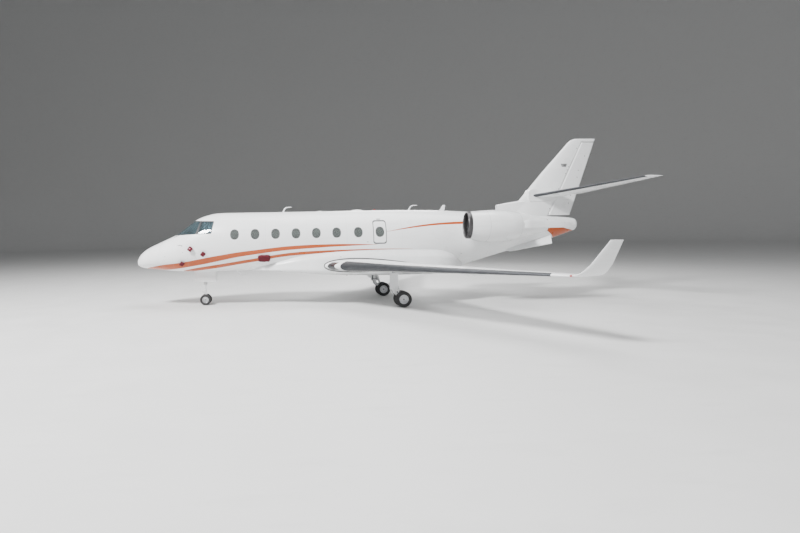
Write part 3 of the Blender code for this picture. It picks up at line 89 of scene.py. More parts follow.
WING: Table = (
    (1.2673, 7.51, 11.50, 1.585, 1.475, 0.122),
    (3.4000, 9.11, 11.75, 1.622, 1.563, 0.112),
    (8.3500, 12.55, 13.22, 1.706, 1.717, 0.105),
)
SLAT_REAR: Table = ((1.75, 8.30), (7.93, 12.395))
FLAP_SPAN = (1.335, 5.32)
FLAP_FRONT: Table = ((1.335, 10.445), (5.32, 11.82))
FLAP_DROP = 0.12
FLAP_AHEAD = 0.10
AILERON_SPAN = (5.36, 7.98)
AILERON_FRONT: Table = ((5.36, 11.86), (7.98, 12.82))
SPOILER_SPAN = (2.30, 5.00)
SPOILER_CHORD = 0.34
SPOILER_THICK = 0.022
HINGE_BACK = 0.055
TRACK_COVERS: Table = ((2.10, 0.122, 0.80), (3.60, 0.150, 1.0), (5.10, 0.150, 1.0))
COVER_GAP = 0.008
WINGLET: Table = (
    (8.3503, 12.550, 13.220, 1.7115, 0.066), (8.405, 12.582, 13.235, 1.7175, 0.063),
    (8.470, 12.625, 13.255, 1.735, 0.060), (8.525, 12.670, 13.272, 1.775, 0.057),
    (8.570, 12.720, 13.290, 1.830, 0.054), (8.660, 12.830, 13.335, 1.990, 0.046),
    (8.840, 13.140, 13.440, 2.545, 0.022),
)
FIN: Table = (
    (3.20, 15.10, 17.80, 0.165), (4.03, 15.72, 18.07, 0.140), (6.30, 17.68, 18.80, 0.062),
    (6.46, 17.84, 18.855, 0.050), (6.53, 18.02, 18.880, 0.026),
)
RUDDER_HINGE: Table = ((16.94, 3.42), (18.302, 6.38))
DORSAL: Table = ((14.80, 0.085, 3.50, 3.886), (15.20, 0.105, 3.46, 3.960), (15.90, 0.12, 3.42, 4.060))
TAILPLANE: Table = ((0.168, 16.25, 17.99, 4.235, 4.235, 0.105), (3.344, 18.34, 18.97, 4.595, 4.595, 0.09))
ELEVATOR_FRONT: Table = ((0.46, 17.62), (3.26, 18.75))
TAIL_PIVOT = (17.02, 4.250)
SEAL_PLATE = (16.05, 17.22, 3.98, 4.50, 0.160)

ENGINE_OUT = 1.925
ENGINE_HEIGHT = 2.995
FAN_STATION = 13.22
NOSE_AXLE = (2.72, 0.225)
MAIN_AXLE = (10.42, 0.305)
MAIN_OUT = 1.66
MAIN_LEG = 10.06


class Side(Enum):
    """One side of the aircraft; the value is the sign of its Y."""

    LEFT = -1
    RIGHT = 1

    @property
    def word(self) -> str:
        """The side's name as node names spell it."""
        return self.name.lower()


class Detail(Enum):
    """Kinds of fine surface detail that a finish can have."""

    PAINT = "paint"
    METAL = "metal"
    RUBBER = "rubber"
    GRAIN = "grain"
    WEAVE = "weave"
    GLASS = "glass"


@dataclass(frozen=True)
class Finish:
    """A named surface finish and the numbers that its shader takes."""

    name: str
    colour: tuple[float, float, float]
    roughness: float
    detail: Detail
    slot: str
    metallic: float = 0.0
    coat: float = 0.0
    transmission: float = 0.0
    livery: bool = False


class Palette:
    """Every finish of the aircraft."""

    WHITE = Finish("white gloss paint", (0.86, 0.87, 0.875), 0.30, Detail.PAINT, "white_paint", coat=0.15, livery=True)
    COMPOSITE = Finish("striped composite paint", (0.86, 0.87, 0.875), 0.27, Detail.PAINT, "composite_paint", coat=0.15,
                       livery=True)
    PLAIN = Finish("white composite paint", (0.86, 0.87, 0.875), 0.27, Detail.PAINT, "composite_paint", coat=0.6)
    WING_WHITE = Finish("wing white paint", (0.84, 0.85, 0.855), 0.26, Detail.PAINT, "white_paint", coat=0.6)
    LINING = Finish("cabin lining", (0.72, 0.69, 0.63), 0.75, Detail.WEAVE, "cabin_trim")
    # Bare metal of the slats and the tailplane's leading edge, made near black: partly the metal's real grey, partly
    # painted shade of the edge-on wing and the tailplane's shaded underside.
    BARE = Finish("bare leading edge", (0.080, 0.083, 0.090), 0.46, Detail.METAL, "bare_metal", metallic=1.0)
    LIP = Finish("brushed intake lip", (0.115, 0.112, 0.115), 0.44, Detail.METAL, "lip_metal", metallic=1.0)
    PANE = Finish("windscreen glass", (0.34, 0.46, 0.51), 0.03, Detail.GLASS, "glazing", transmission=0.92)
    CABIN_PANE = Finish("cabin window glass", (0.50, 0.54, 0.53), 0.05, Detail.GLASS, "glazing", transmission=0.88)
    SHADE = Finish("pleated window blind", (0.20, 0.205, 0.20), 0.80, Detail.WEAVE, "cabin_trim")
    SEAL = Finish("black sealant", (0.018, 0.018, 0.020), 0.55, Detail.RUBBER, "tyre")
    POST = Finish("dark window post", (0.030, 0.033, 0.037), 0.55, Detail.PAINT, "panel")
    LINE = Finish("grey seam line", (0.085, 0.088, 0.092), 0.60, Detail.RUBBER, "tyre")
    TYRE = Finish("tyre rubber", (0.022, 0.022, 0.023), 0.78, Detail.RUBBER, "tyre")
    LEG = Finish("gear leg enamel", (0.74, 0.75, 0.76), 0.32, Detail.PAINT, "leg_paint", coat=0.3)
    ALLOY = Finish("wheel alloy", (0.62, 0.63, 0.65), 0.34, Detail.METAL, "wheel_alloy", metallic=1.0)
    CHROME = Finish("strut chrome", (0.72, 0.73, 0.74), 0.10, Detail.METAL, "wheel_alloy", metallic=1.0)
    STEEL = Finish("dark steel", (0.16, 0.165, 0.17), 0.42, Detail.METAL, "engine_metal", metallic=1.0)
    FAN = Finish("fan titanium", (0.13, 0.135, 0.145), 0.30, Detail.METAL, "fan_metal", metallic=1.0)
    DUCT = Finish("duct lining", (0.028, 0.028, 0.030), 0.50, Detail.PAINT, "engine_metal")
    # The duct's real lining, made near black as painted shade inside the intake and the nozzle.
    HOT = Finish("heat stained nozzle", (0.23, 0.205, 0.185), 0.40, Detail.METAL, "engine_metal", metallic=1.0)
    HOSE = Finish("hydraulic hose", (0.03, 0.03, 0.03), 0.55, Detail.RUBBER, "tyre")
    COVER = Finish("red cover cloth", (0.095, 0.002, 0.010), 0.80, Detail.WEAVE, "seat_leather")
    RIBBON = Finish("pale pink ribbon", (0.62, 0.30, 0.38), 0.80, Detail.WEAVE, "seat_leather")
    LEATHER = Finish("seat leather", (0.52, 0.44, 0.34), 0.52, Detail.GRAIN, "seat_leather")
    CARPET = Finish("cabin carpet", (0.33, 0.30, 0.26), 0.95, Detail.WEAVE, "cabin_trim")
    WOOD = Finish("dark veneer", (0.12, 0.055, 0.026), 0.22, Detail.GRAIN, "cabin_trim", coat=0.8)
    PANEL = Finish("flight deck black", (0.035, 0.035, 0.038), 0.60, Detail.GRAIN, "panel")
    SCREEN = Finish("dark display glass", (0.010, 0.014, 0.018), 0.08, Detail.PAINT, "panel", coat=1.0)
    FOIL = Finish("foil sunshade", (0.34, 0.37, 0.39), 0.60, Detail.METAL, "lip_metal", metallic=1.0)
    RED_GLASS = Finish("red lamp glass", (0.55, 0.02, 0.015), 0.08, Detail.GLASS, "glazing", transmission=0.55)
    GREEN_GLASS = Finish("green lamp glass", (0.02, 0.42, 0.10), 0.08, Detail.GLASS, "glazing", transmission=0.55)
    CLEAR_GLASS = Finish("clear lamp glass", (0.85, 0.87, 0.88), 0.05, Detail.GLASS, "glazing", transmission=0.9)
    FLOOR = Finish("studio floor", (0.70, 0.70, 0.695), 0.55, Detail.PAINT, "white_paint")


@dataclass(frozen=True)
class Band:
    """One painted stripe seen from the side, between two lines of (station, height) points."""

    top: Table
    bottom: Table


ORANGE = (0.42, 0.064, 0.0, 1.0)
BANDS = (
    Band(
        ((0.42, 1.575), (0.90, 1.675), (1.30, 1.735), (1.71, 1.775), (2.12, 1.832), (2.54, 1.908), (2.94, 1.980),
         (3.35, 2.050), (4.15, 2.170), (4.87, 2.250), (5.92, 2.358), (6.58, 2.397), (7.35, 2.418), (7.94, 2.420),
         (8.54, 2.412), (9.57, 2.378)),
        ((0.42, 1.545), (0.76, 1.485), (1.17, 1.488), (1.65, 1.540), (2.07, 1.600), (2.50, 1.672), (2.91, 1.742),
         (3.32, 1.824), (4.13, 1.980), (4.87, 2.083), (5.92, 2.206), (6.57, 2.252), (7.35, 2.295), (7.94, 2.322),
         (8.54, 2.340), (9.57, 2.372)),
    ),
    Band(
        ((1.90, 1.450), (2.47, 1.565), (2.89, 1.630), (3.30, 1.690), (3.71, 1.752), (4.12, 1.815), (4.86, 1.925),
         (5.91, 2.083), (6.57, 2.142), (7.35, 2.175), (8.54, 2.198), (9.74, 2.204), (10.98, 2.187)),
        ((1.90, 1.360), (2.42, 1.430), (2.84, 1.485), (3.27, 1.544), (3.69, 1.610), (4.10, 1.680), (4.85, 1.795),
         (5.91, 1.965), (6.57, 2.019), (7.35, 2.070), (8.54, 2.141), (9.74, 2.173), (10.98, 2.182)),
    ),
    Band(
        ((9.95, 2.865), (10.86, 3.030), (11.53, 3.120), (12.10, 3.170), (13.03, 3.210), (14.60, 3.220)),
        ((9.95, 2.860), (10.86, 2.980), (11.52, 3.050), (12.08, 3.090), (12.99, 3.110), (14.60, 3.100)),
    ),
    Band(
        ((16.56, 2.860), (16.90, 2.905), (17.29, 2.920), (17.66, 2.850), (18.20, 2.740)),
        ((16.56, 2.850), (16.85, 2.670), (17.20, 2.450), (18.20, 2.300)),
    ),
)
SEAM_STATIONS = (0.62, 1.60, 2.20, 5.25, 6.85, 8.40, 10.55, 12.90, 14.10, 15.45, 16.20)
SEAM_STRENGTH = 0.55
SEAM_GREY = (0.30, 0.31, 0.32, 1.0)
STRIPE_BLUR = 0.002
COAT_ROUGHNESS = 0.06


def at(station: float, out: float, height: float) -> Vector:
    """A point in the part's frame from its station, distance out and height."""
    return Vector((station - MIDDLE, out, height))


def mix(table: Table, key: float, column: int) -> float:
    """Reads one column of a table, straight between its rows."""
    if key <= table[0][0]:
        return table[0][column]
    for low, high in zip(table, table[1:]):
        if key <= high[0]:
            share = (key - low[0]) / (high[0] - low[0])
            return low[column] + share * (high[column] - low[column])
    return table[-1][column]


def smooth(table: Table, key: float, column: int) -> float:
    """Reads one column of a table along a curve that never overshoots its rows."""
    last = len(table) - 1
    if key <= table[0][0] or key >= table[last][0]:
        return mix(table, key, column)
    k = next(i for i in range(last) if key <= table[i + 1][0])
    slopes = [(table[i + 1][column] - table[i][column]) / (table[i + 1][0] - table[i][0]) for i in range(last)]

    def tangent(i: int) -> float:
        if i in (0, last):
            return slopes[min(i, last - 1)]
        before, after = slopes[i - 1], slopes[i]
        return 0.0 if before * after <= 0 else 2 * before * after / (before + after)

    step = table[k + 1][0] - table[k][0]
    t = (key - table[k][0]) / step
    rise = table[k + 1][column] - table[k][column]
    bend = tangent(k) * step - rise
    turn = -tangent(k + 1) * step + rise
    return table[k][column] + t * rise + t * (1 - t) * ((1 - t) * bend + t * turn)


def rounded(low_u: float, high_u: float, low_v: float, high_v: float, radius: float, steps: int = 8) -> list:
    """Outline of a rectangle with round corners, as (u, v) pairs."""
    points = []
    corners = (
        (high_u - radius, low_v + radius, -90), (high_u - radius, high_v - radius, 0),
        (low_u + radius, high_v - radius, 90), (low_u + radius, low_v + radius, 180),
    )
    for u, v, start in corners:
        for k in range(steps + 1):
            angle = math.radians(start + 90 * k / steps)
            points.append((u + radius * math.cos(angle), v + radius * math.sin(angle)))
    return points


def softened(points: Outline, radius: float, steps: int = 5) -> list:
    """An outline with each corner replaced by a short curve."""
    out = []
    count = len(points)
    for i, corner in enumerate(points):
        here = Vector(corner)
        before = (Vector(points[i - 1]) - here).normalized() * radius
        after = (Vector(points[(i + 1) % count]) - here).normalized() * radius
        for k in range(steps + 1):
            t = k / steps
            p = here + before * (1 - t) ** 2 + after * t**2
            out.append((p.x, p.y))
    return out


def grown(points: Outline, amount: float) -> list:
    """An outline moved outwards from its middle by about the given amount."""
    u0 = sum(p[0] for p in points) / len(points)
    v0 = sum(p[1] for p in points) / len(points)
    out = []
    for u, v in points:
        away = math.hypot(u - u0, v - v0)
        out.append((u0 + (u - u0) * (away + amount) / away, v0 + (v - v0) * (away + amount) / away))
    return out


def spread(points: Outline, step: float = 0.06) -> list:
    """An outline with points added along its long straight edges."""
    out = []
    for i, (u, v) in enumerate(points):
        next_u, next_v = points[(i + 1) % len(points)]
        count = max(1, math.ceil(math.hypot(next_u - u, next_v - v) / step))
        out += [(u + (next_u - u) * k / count, v + (next_v - v) * k / count) for k in range(count)]
    return out


def turns(count: int, phase: float = 0.0) -> list[tuple[float, float]]:
    """Cosine and sine of even steps round a circle."""
    angles = [2 * math.pi * (k + phase) / count for k in range(count)]
    return [(math.cos(a), math.sin(a)) for a in angles]


def even(first: float, last: float, count: int) -> list[float]:
    """Evenly spaced values from the first to the last."""
    return [first + (last - first) * k / (count - 1) for k in range(count)]


def oval(u: float, v: float, wide: float, tall: float, steps: int = 36) -> list:
    """Outline of a rounded oval, as (u, v) pairs."""

    def full(value: float) -> float:
        return math.copysign(abs(value) ** 0.9, value)

    return [(u + wide / 2 * full(c), v + tall / 2 * full(s)) for c, s in turns(steps)]


class Shapes:
    """Makes meshes in the part's frame."""

    @staticmethod
    def place(name: str, data: bpy.types.ID) -> Piece:
        """Links a new object that shows the given data."""
        made = bpy.data.objects.new(name, data)
        bpy.context.scene.collection.objects.link(made)
        return made

    @staticmethod
    def fixed(name: str, bm: bmesh.types.BMesh) -> Piece:
        """Turns a bmesh into a linked object just as it is."""
        mesh = bpy.data.meshes.new(name)
        bm.to_mesh(mesh)
        bm.free()
        return Shapes.place(name, mesh)

    @staticmethod
    def link(name: str, bm: bmesh.types.BMesh) -> Piece:
        """Turns a bmesh into a linked object with its faces pointing outwards."""
        bmesh.ops.remove_doubles(bm, verts=bm.verts, dist=1e-6)
        bmesh.ops.recalc_face_normals(bm, faces=bm.faces)
        return Shapes.fixed(name, bm)

    @staticmethod
    def loft(name: str, rings: Sequence[Sequence[Vector]], closed: bool = False, caps: bool = True,
             open_rings: bool = False) -> Piece:
        """A skin through rings of equal count.

        Args:
            name: The object's name.
            rings: Points of each ring, in order.
            closed: Joins the last ring to the first.
            caps: Closes both ends with a flat face.
            open_rings: Leaves each ring open, for a sheet.

        Returns:
            The linked object.
        """
        bm = bmesh.new()
        made = [[bm.verts.new(p) for p in ring] for ring in rings]
        pairs = list(zip(made, made[1:] + made[:1])) if closed else list(zip(made, made[1:]))
        around = len(made[0]) - (1 if open_rings else 0)
        for first, second in pairs:
            for i in range(around):
                j = (i + 1) % len(first)
                bm.faces.new((first[i], first[j], second[j], second[i]))
        if caps and not closed:
            bm.faces.new(made[0])
            bm.faces.new(made[-1])
        return Shapes.link(name, bm)

    @staticmethod
    def block(name: str, low: Vector, high: Vector, bevel: float = 0.0) -> Piece:
        """A box between two corners with rounded edges."""
        bm = bmesh.new()
        bmesh.ops.create_cube(bm, size=1.0)
        for v in bm.verts:
            v.co = Vector(low[i] + (v.co[i] + 0.5) * (high[i] - low[i]) for i in range(3))
        if bevel:
            bmesh.ops.bevel(bm, geom=bm.edges[:], offset=bevel, segments=3, profile=0.5, affect="EDGES")
        return Shapes.link(name, bm)

    @staticmethod
    def turned(name: str, profile: Outline, centre: Vector, axis: str, steps: int = 64) -> Piece:
        """A closed profile of (along, radius) pairs turned about an axis through the centre."""
        rings = []
        for c, s in turns(steps):
            if axis == "X":
                rings.append([centre + Vector((a, r * c, r * s)) for a, r in profile])
            elif axis == "Y":
                rings.append([centre + Vector((r * c, a, r * s)) for a, r in profile])
            else:
                rings.append([centre + Vector((r * c, r * s, a)) for a, r in profile])
        return Shapes.loft(name, rings, closed=True)

    @staticmethod
    def rod(name: str, start: Vector, end: Vector, radius: float, end_radius: float | None = None,
            steps: int = 20) -> Piece:
        """A round bar between two points, with softened ends."""
        along = (end - start).normalized()
        across = along.orthogonal().normalized()
        up = along.cross(across)
        last = radius if end_radius is None else end_radius
        soft = min(radius, last) * 0.25
        rows = ((start, radius - soft), (start + along * soft, radius), (end - along * soft, last), (end, last - soft))
        return Shapes.loft(name, [[p + r * (c * across + s * up) for c, s in turns(steps)] for p, r in rows])

    @staticmethod
    def wicks(name: str, feet: Iterable[Vector], reach: Vector) -> Piece:
        """Thin static wicks that stand on a trailing edge."""
        return Shapes.merge(name, [Shapes.rod("wick", foot, foot + reach, 0.003, 0.0015, 8) for foot in feet])

    @staticmethod
    def evaluated(obj: Piece) -> bpy.types.Mesh:
        """The mesh of an object with its bevel or modifiers applied."""
        bpy.context.view_layer.update()
        graph = bpy.context.evaluated_depsgraph_get()
        return bpy.data.meshes.new_from_object(obj.evaluated_get(graph))

    @staticmethod
    def tube(name: str, points: Sequence[Vector], radius: float) -> Piece:
        """A round tube along a smooth line."""
        curve = bpy.data.curves.new(name, "CURVE")
        curve.dimensions = "3D"
        curve.bevel_depth = radius
        curve.bevel_resolution = 3
        curve.use_fill_caps = True
        spline = curve.splines.new("BEZIER")
        spline.bezier_points.add(len(points) - 1)
        for point, place in zip(spline.bezier_points, points):
            point.co = place
            point.handle_left_type = point.handle_right_type = "AUTO"
        made = Shapes.place(name, curve)
        mesh = Shapes.evaluated(made)
        bpy.data.objects.remove(made)
        return Shapes.place(name, mesh)

    @staticmethod
    def pillow(name: str, cuts: int, power: int, put: Callable[[Vector], Vector]) -> Piece:
        """A rounded form from a cube.

        Args:
            name: The object's name.
            cuts: How often each edge of the cube is cut.
            power: How square the form is; 2 gives a ball.
            put: Gives the place of a point of the rounded form.

        Returns:
            The linked object.
        """
        bm = bmesh.new()
        bmesh.ops.create_cube(bm, size=2.0)
        bmesh.ops.subdivide_edges(bm, edges=bm.edges[:], cuts=cuts, use_grid_fill=True)
        for v in bm.verts:
            v.co = put(v.co / sum(abs(c) ** power for c in v.co) ** (1 / power))
        return Shapes.link(name, bm)

    @staticmethod
    def bevelled(obj: Piece, width: float, segments: int) -> Piece:
        """Rounds every edge of an object with a modifier."""
        bevel = obj.modifiers.new("edge", "BEVEL")
        bevel.width = width
        bevel.segments = segments
        return obj

    @staticmethod
    def merge(name: str, pieces: Iterable[Piece]) -> Piece:
        """Puts several meshes into one object."""
        bm = bmesh.new()
        for piece in pieces:
            piece.data.transform(piece.matrix_world)
            bm.from_mesh(piece.data)
            bpy.data.objects.remove(piece)
        return Shapes.fixed(name, bm)

    @staticmethod
    def combine(obj: Piece, tools: Sequence[Piece], operation: str) -> Piece:
        """Applies a Boolean with tools that don't touch each other, then removes them."""
        tool = Shapes.merge("tool", tools)
        modifier = obj.modifiers.new(operation, "BOOLEAN")
        modifier.operation = operation
        modifier.solver = "EXACT"
        modifier.object = tool
        mesh = Shapes.evaluated(obj)
        obj.modifiers.clear()
        obj.data = mesh
        bpy.data.objects.remove(tool)
        return obj

    @staticmethod
    def cut(obj: Piece, *tools: Piece) -> Piece:
        """Cuts tools out of an object."""
        return Shapes.combine(obj, tools, "DIFFERENCE")

    @staticmethod
    def keep(obj: Piece, *tools: Piece) -> Piece:
        """Keeps only what lies inside the tools."""
        return Shapes.combine(obj, tools, "INTERSECT")

    @staticmethod
    def side_prism(outline: Outline, side: Side, inner: float = 0.3, outer: float = 1.5) -> Piece:
        """An outline of (station, height) pairs extruded sideways."""
        return Shapes.loft("prism", [[at(u, side.value * out, v) for u, v in outline] for out in (inner, outer)])

    @staticmethod
    def plan_prism(corners: Outline, side: Side, low: float = 1.0, high: float = 5.5) -> Piece:
        """A plan outline of (station, distance out) corners extruded upwards."""
        return Shapes.loft("prism", [[at(x, side.value * out, z) for x, out in corners] for z in (low, high)])


class Graph:
    """Adds and links nodes in one node tree."""

    def __init__(self, tree: Tree) -> None:
        self.tree = tree

    def node(self, kind: str, feeds: dict | None = None, **settings: object) -> bpy.types.Node:
        """Adds a node, sets its properties and feeds its inputs with values or sockets."""
        made = self.tree.nodes.new(kind)
        for key, value in settings.items():
            setattr(made, key, value)
        for key, value in (feeds or {}).items():
            self.feed(made.inputs[key], value)
        return made

    def feed(self, socket: Socket, value: object) -> None:
        """Links a socket into an input, or sets the input's value."""
        if isinstance(value, Socket):
            self.tree.links.new(value, socket)
        else:
            socket.default_value = value

    def math(self, operation: str, a: object, b: object = 0.0, c: object = 0.0) -> Socket:
        """A Math node's result."""
        return self.node("ShaderNodeMath", {0: a, 1: b, 2: c}, operation=operation).outputs[0]

    def ramp(self, value: object, low: float, high: float, to_low: float = 0.0,
             to_high: float = 1.0) -> Socket:
        """A clamped Map Range result."""
        feeds = {"Value": value, "From Min": low, "From Max": high, "To Min": to_low, "To Max": to_high}
        return self.node("ShaderNodeMapRange", feeds).outputs["Result"]

    def noise(self, place: object, scale: float, detail: float = 3.0,
              stretch: Vector | None = None) -> Socket:
        """A noise value at a place, stretched along the axes if asked."""
        if stretch is not None:
            place = self.node("ShaderNodeVectorMath", {0: place, 1: stretch}, operation="MULTIPLY").outputs[0]
        return self.node("ShaderNodeTexNoise", {"Vector": place, "Scale": scale, "Detail": detail}).outputs["Fac"]

    def bump(self, height: object, strength: float, distance: float) -> Socket:
        """A Bump node's normal."""
        feeds = {"Height": height, "Strength": strength, "Distance": distance}
        return self.node("ShaderNodeBump", feeds).outputs["Normal"]

    def blend(self, share: object, first: object, second: object) -> Socket:
        """Two colours mixed by a share; a colour Mix node takes them in its sockets 6 and 7."""
        return self.node("ShaderNodeMix", {0: share, 6: first, 7: second}, data_type="RGBA").outputs[2]

    def use(self, tree: Tree, place: object) -> bpy.types.NodeOutputs:
        """Adds a node group at a place and gives its outputs."""
        return self.node("ShaderNodeGroup", {"Place": place}, node_tree=tree).outputs


class Effects:
    """Shared node groups, each built once."""

    def __init__(self) -> None:
        self.made: dict[str, Tree] = {}

    def group(self, name: str, outputs: dict[str, str], fill: Callable[[Graph, object], dict]) -> Tree:
        """Builds a group that takes a place and puts out named values.

        Args:
            name: The group's name.
            outputs: Socket type of each output, by name.
            fill: Builds the nodes and returns a socket for each output.

        Returns:
            The node group.
        """
        if name in self.made:
            return self.made[name]
        tree = bpy.data.node_groups.new(name, "ShaderNodeTree")
        tree.interface.new_socket("Place", in_out="INPUT", socket_type="NodeSocketVector")
        for label, kind in outputs.items():
            tree.interface.new_socket(label, in_out="OUTPUT", socket_type=kind)
        graph = Graph(tree)
        source = graph.node("NodeGroupInput")
        sink = graph.node("NodeGroupOutput")
        for label, socket in fill(graph, source.outputs["Place"]).items():
            graph.feed(sink.inputs[label], socket)
        self.made[name] = tree
        return tree

    def surface(self, kind: Detail) -> Tree:
        """The group that gives one kind of surface its shade, gloss and normal."""
        name, fill = {
            Detail.PAINT: ("Paint film", self.film), Detail.GLASS: ("Paint film", self.film),
            Detail.METAL: ("Brushed metal", self.metal), Detail.RUBBER: ("Rubber", self.rubber),
            Detail.GRAIN: ("Grain", self.grain), Detail.WEAVE: ("Weave", self.weave),
        }[kind]
        outputs = {"Shade": "NodeSocketFloat", "Gloss": "NodeSocketFloat", "Normal": "NodeSocketVector"}
        return self.group(name, outputs, fill)

    def mask(self, name: str, fill: Callable[[Graph, object], dict]) -> Tree:
        """A group that gives one mask."""
        return self.group(name, {"Mask": "NodeSocketFloat"}, fill)

    @staticmethod
    def stripes(graph: Graph, place: object) -> dict:
        """Mask of the painted stripes."""
        axes = graph.node("ShaderNodeSeparateXYZ", {0: place}).outputs
        station = graph.math("ADD", axes["X"], MIDDLE)
        total: object = 0.0
        for band in BANDS:
            first, last = band.top[0][0], band.top[-1][0]
            share = graph.ramp(station, first, last)
            top, bottom = (Effects.line(graph, share, edge, first, last) for edge in (band.top, band.bottom))
            under = graph.ramp(graph.math("SUBTRACT", top, axes["Z"]), -STRIPE_BLUR, STRIPE_BLUR)
            over = graph.ramp(graph.math("SUBTRACT", axes["Z"], bottom), -STRIPE_BLUR, STRIPE_BLUR)
            begun, ended = graph.math("GREATER_THAN", station, first), graph.math("LESS_THAN", station, last)
            inside = graph.math("MULTIPLY", graph.math("MULTIPLY", under, over), graph.math("MULTIPLY", begun, ended))
            total = graph.math("MAXIMUM", total, inside)
        return {"Mask": total}

    @staticmethod
    def line(graph: Graph, share: object, points: Table, first: float, last: float) -> Socket:
        """Height of a stripe's edge, as a smooth curve along the aircraft."""
        low, high = 1.0, 4.0
        node = graph.node("ShaderNodeFloatCurve", {"Value": share})
        curve = node.mapping.curves[0]
        places = [((x - first) / (last - first), (z - low) / (high - low)) for x, z in points]
        curve.points[0].location = places[0]
        curve.points[1].location = places[-1]
        for place in places[1:-1]:
            curve.points.new(*place)
        for point in curve.points:
            point.handle_type = "AUTO"
        node.mapping.update()
        return graph.math("MULTIPLY_ADD", node.outputs["Value"], high - low, low)

    @staticmethod
    def seams(graph: Graph, place: object) -> dict:
        """Mask of the thin frame seams round the hull."""
        station = graph.math("ADD", graph.node("ShaderNodeSeparateXYZ", {0: place}).outputs["X"], MIDDLE)
        total: object = 0.0
        for seam in SEAM_STATIONS:
            away = graph.math("ABSOLUTE", graph.math("SUBTRACT", station, seam))
            total = graph.math("MAXIMUM", total, graph.ramp(away, 0.0010, 0.0028, 1.0, 0.0))
        return {"Mask": total}

    @staticmethod
    def film(graph: Graph, place: object) -> dict:
        """Faint dirt, orange peel and gloss change of sprayed paint."""
        cloud = graph.noise(place, 0.9, 5.0)
        streak = graph.noise(place, 3.0, 4.0, Vector((0.25, 1.0, 3.0)))
        dirt = graph.math("MULTIPLY", graph.ramp(streak, 0.52, 0.78), graph.ramp(cloud, 0.35, 0.7))
        return {
            "Shade": graph.ramp(dirt, 0.0, 1.0, 1.0, 0.90),
            "Gloss": graph.ramp(cloud, 0.3, 0.7, 0.85, 1.25),
            "Normal": graph.bump(graph.noise(place, 260.0, 2.0), 0.05, 0.0006),
        }

    @staticmethod
    def metal(graph: Graph, place: object) -> dict:
        """Brushed and slightly stained metal."""
        brushed = graph.noise(place, 60.0, 3.0, Vector((0.15, 1.0, 6.0)))
        stain = graph.noise(place, 4.0, 5.0)
        return {
            "Shade": graph.ramp(stain, 0.3, 0.75, 1.08, 0.82),
            "Gloss": graph.ramp(brushed, 0.3, 0.7, 0.80, 1.35),
            "Normal": graph.bump(brushed, 0.10, 0.0008),
        }

    @staticmethod
    def rubber(graph: Graph, place: object) -> dict:
        """Dusty, finely pitted rubber."""
        dust = graph.noise(place, 9.0, 6.0)
        return {
            "Shade": graph.ramp(dust, 0.35, 0.75, 0.85, 1.9),
            "Gloss": graph.ramp(dust, 0.3, 0.7, 0.9, 1.15),
            "Normal": graph.bump(graph.noise(place, 420.0, 2.0), 0.25, 0.0008),
        }

    @staticmethod
    def grain(graph: Graph, place: object) -> dict:
        """Pebbled leather or moulded grain."""
        cells = graph.node("ShaderNodeTexVoronoi", {"Vector": place, "Scale": 240.0}).outputs["Distance"]
        wear = graph.noise(place, 7.0, 5.0)
        return {
            "Shade": graph.ramp(wear, 0.3, 0.75, 0.88, 1.10),
            "Gloss": graph.ramp(wear, 0.3, 0.7, 0.88, 1.15),
            "Normal": graph.bump(cells, 0.35, 0.0012),
        }

    @staticmethod
    def weave(graph: Graph, place: object) -> dict:
        """Crossed threads of cloth or carpet."""
        feeds = {"Vector": place, "Scale": 130.0}
        waves = [graph.node("ShaderNodeTexWave", feeds, bands_direction=axis).outputs["Fac"] for axis in "XZ"]
        threads = graph.math("MAXIMUM", *waves)
        fade = graph.noise(place, 6.0, 4.0)
        faded = graph.ramp(fade, 0.3, 0.7, 0.9, 1.1)
        return {
            "Shade": graph.math("MULTIPLY", graph.ramp(threads, 0.0, 1.0, 0.78, 1.08), faded),
            "Gloss": graph.ramp(fade, 0.3, 0.7, 0.95, 1.05),
            "Normal": graph.bump(threads, 0.5, 0.0015),
        }


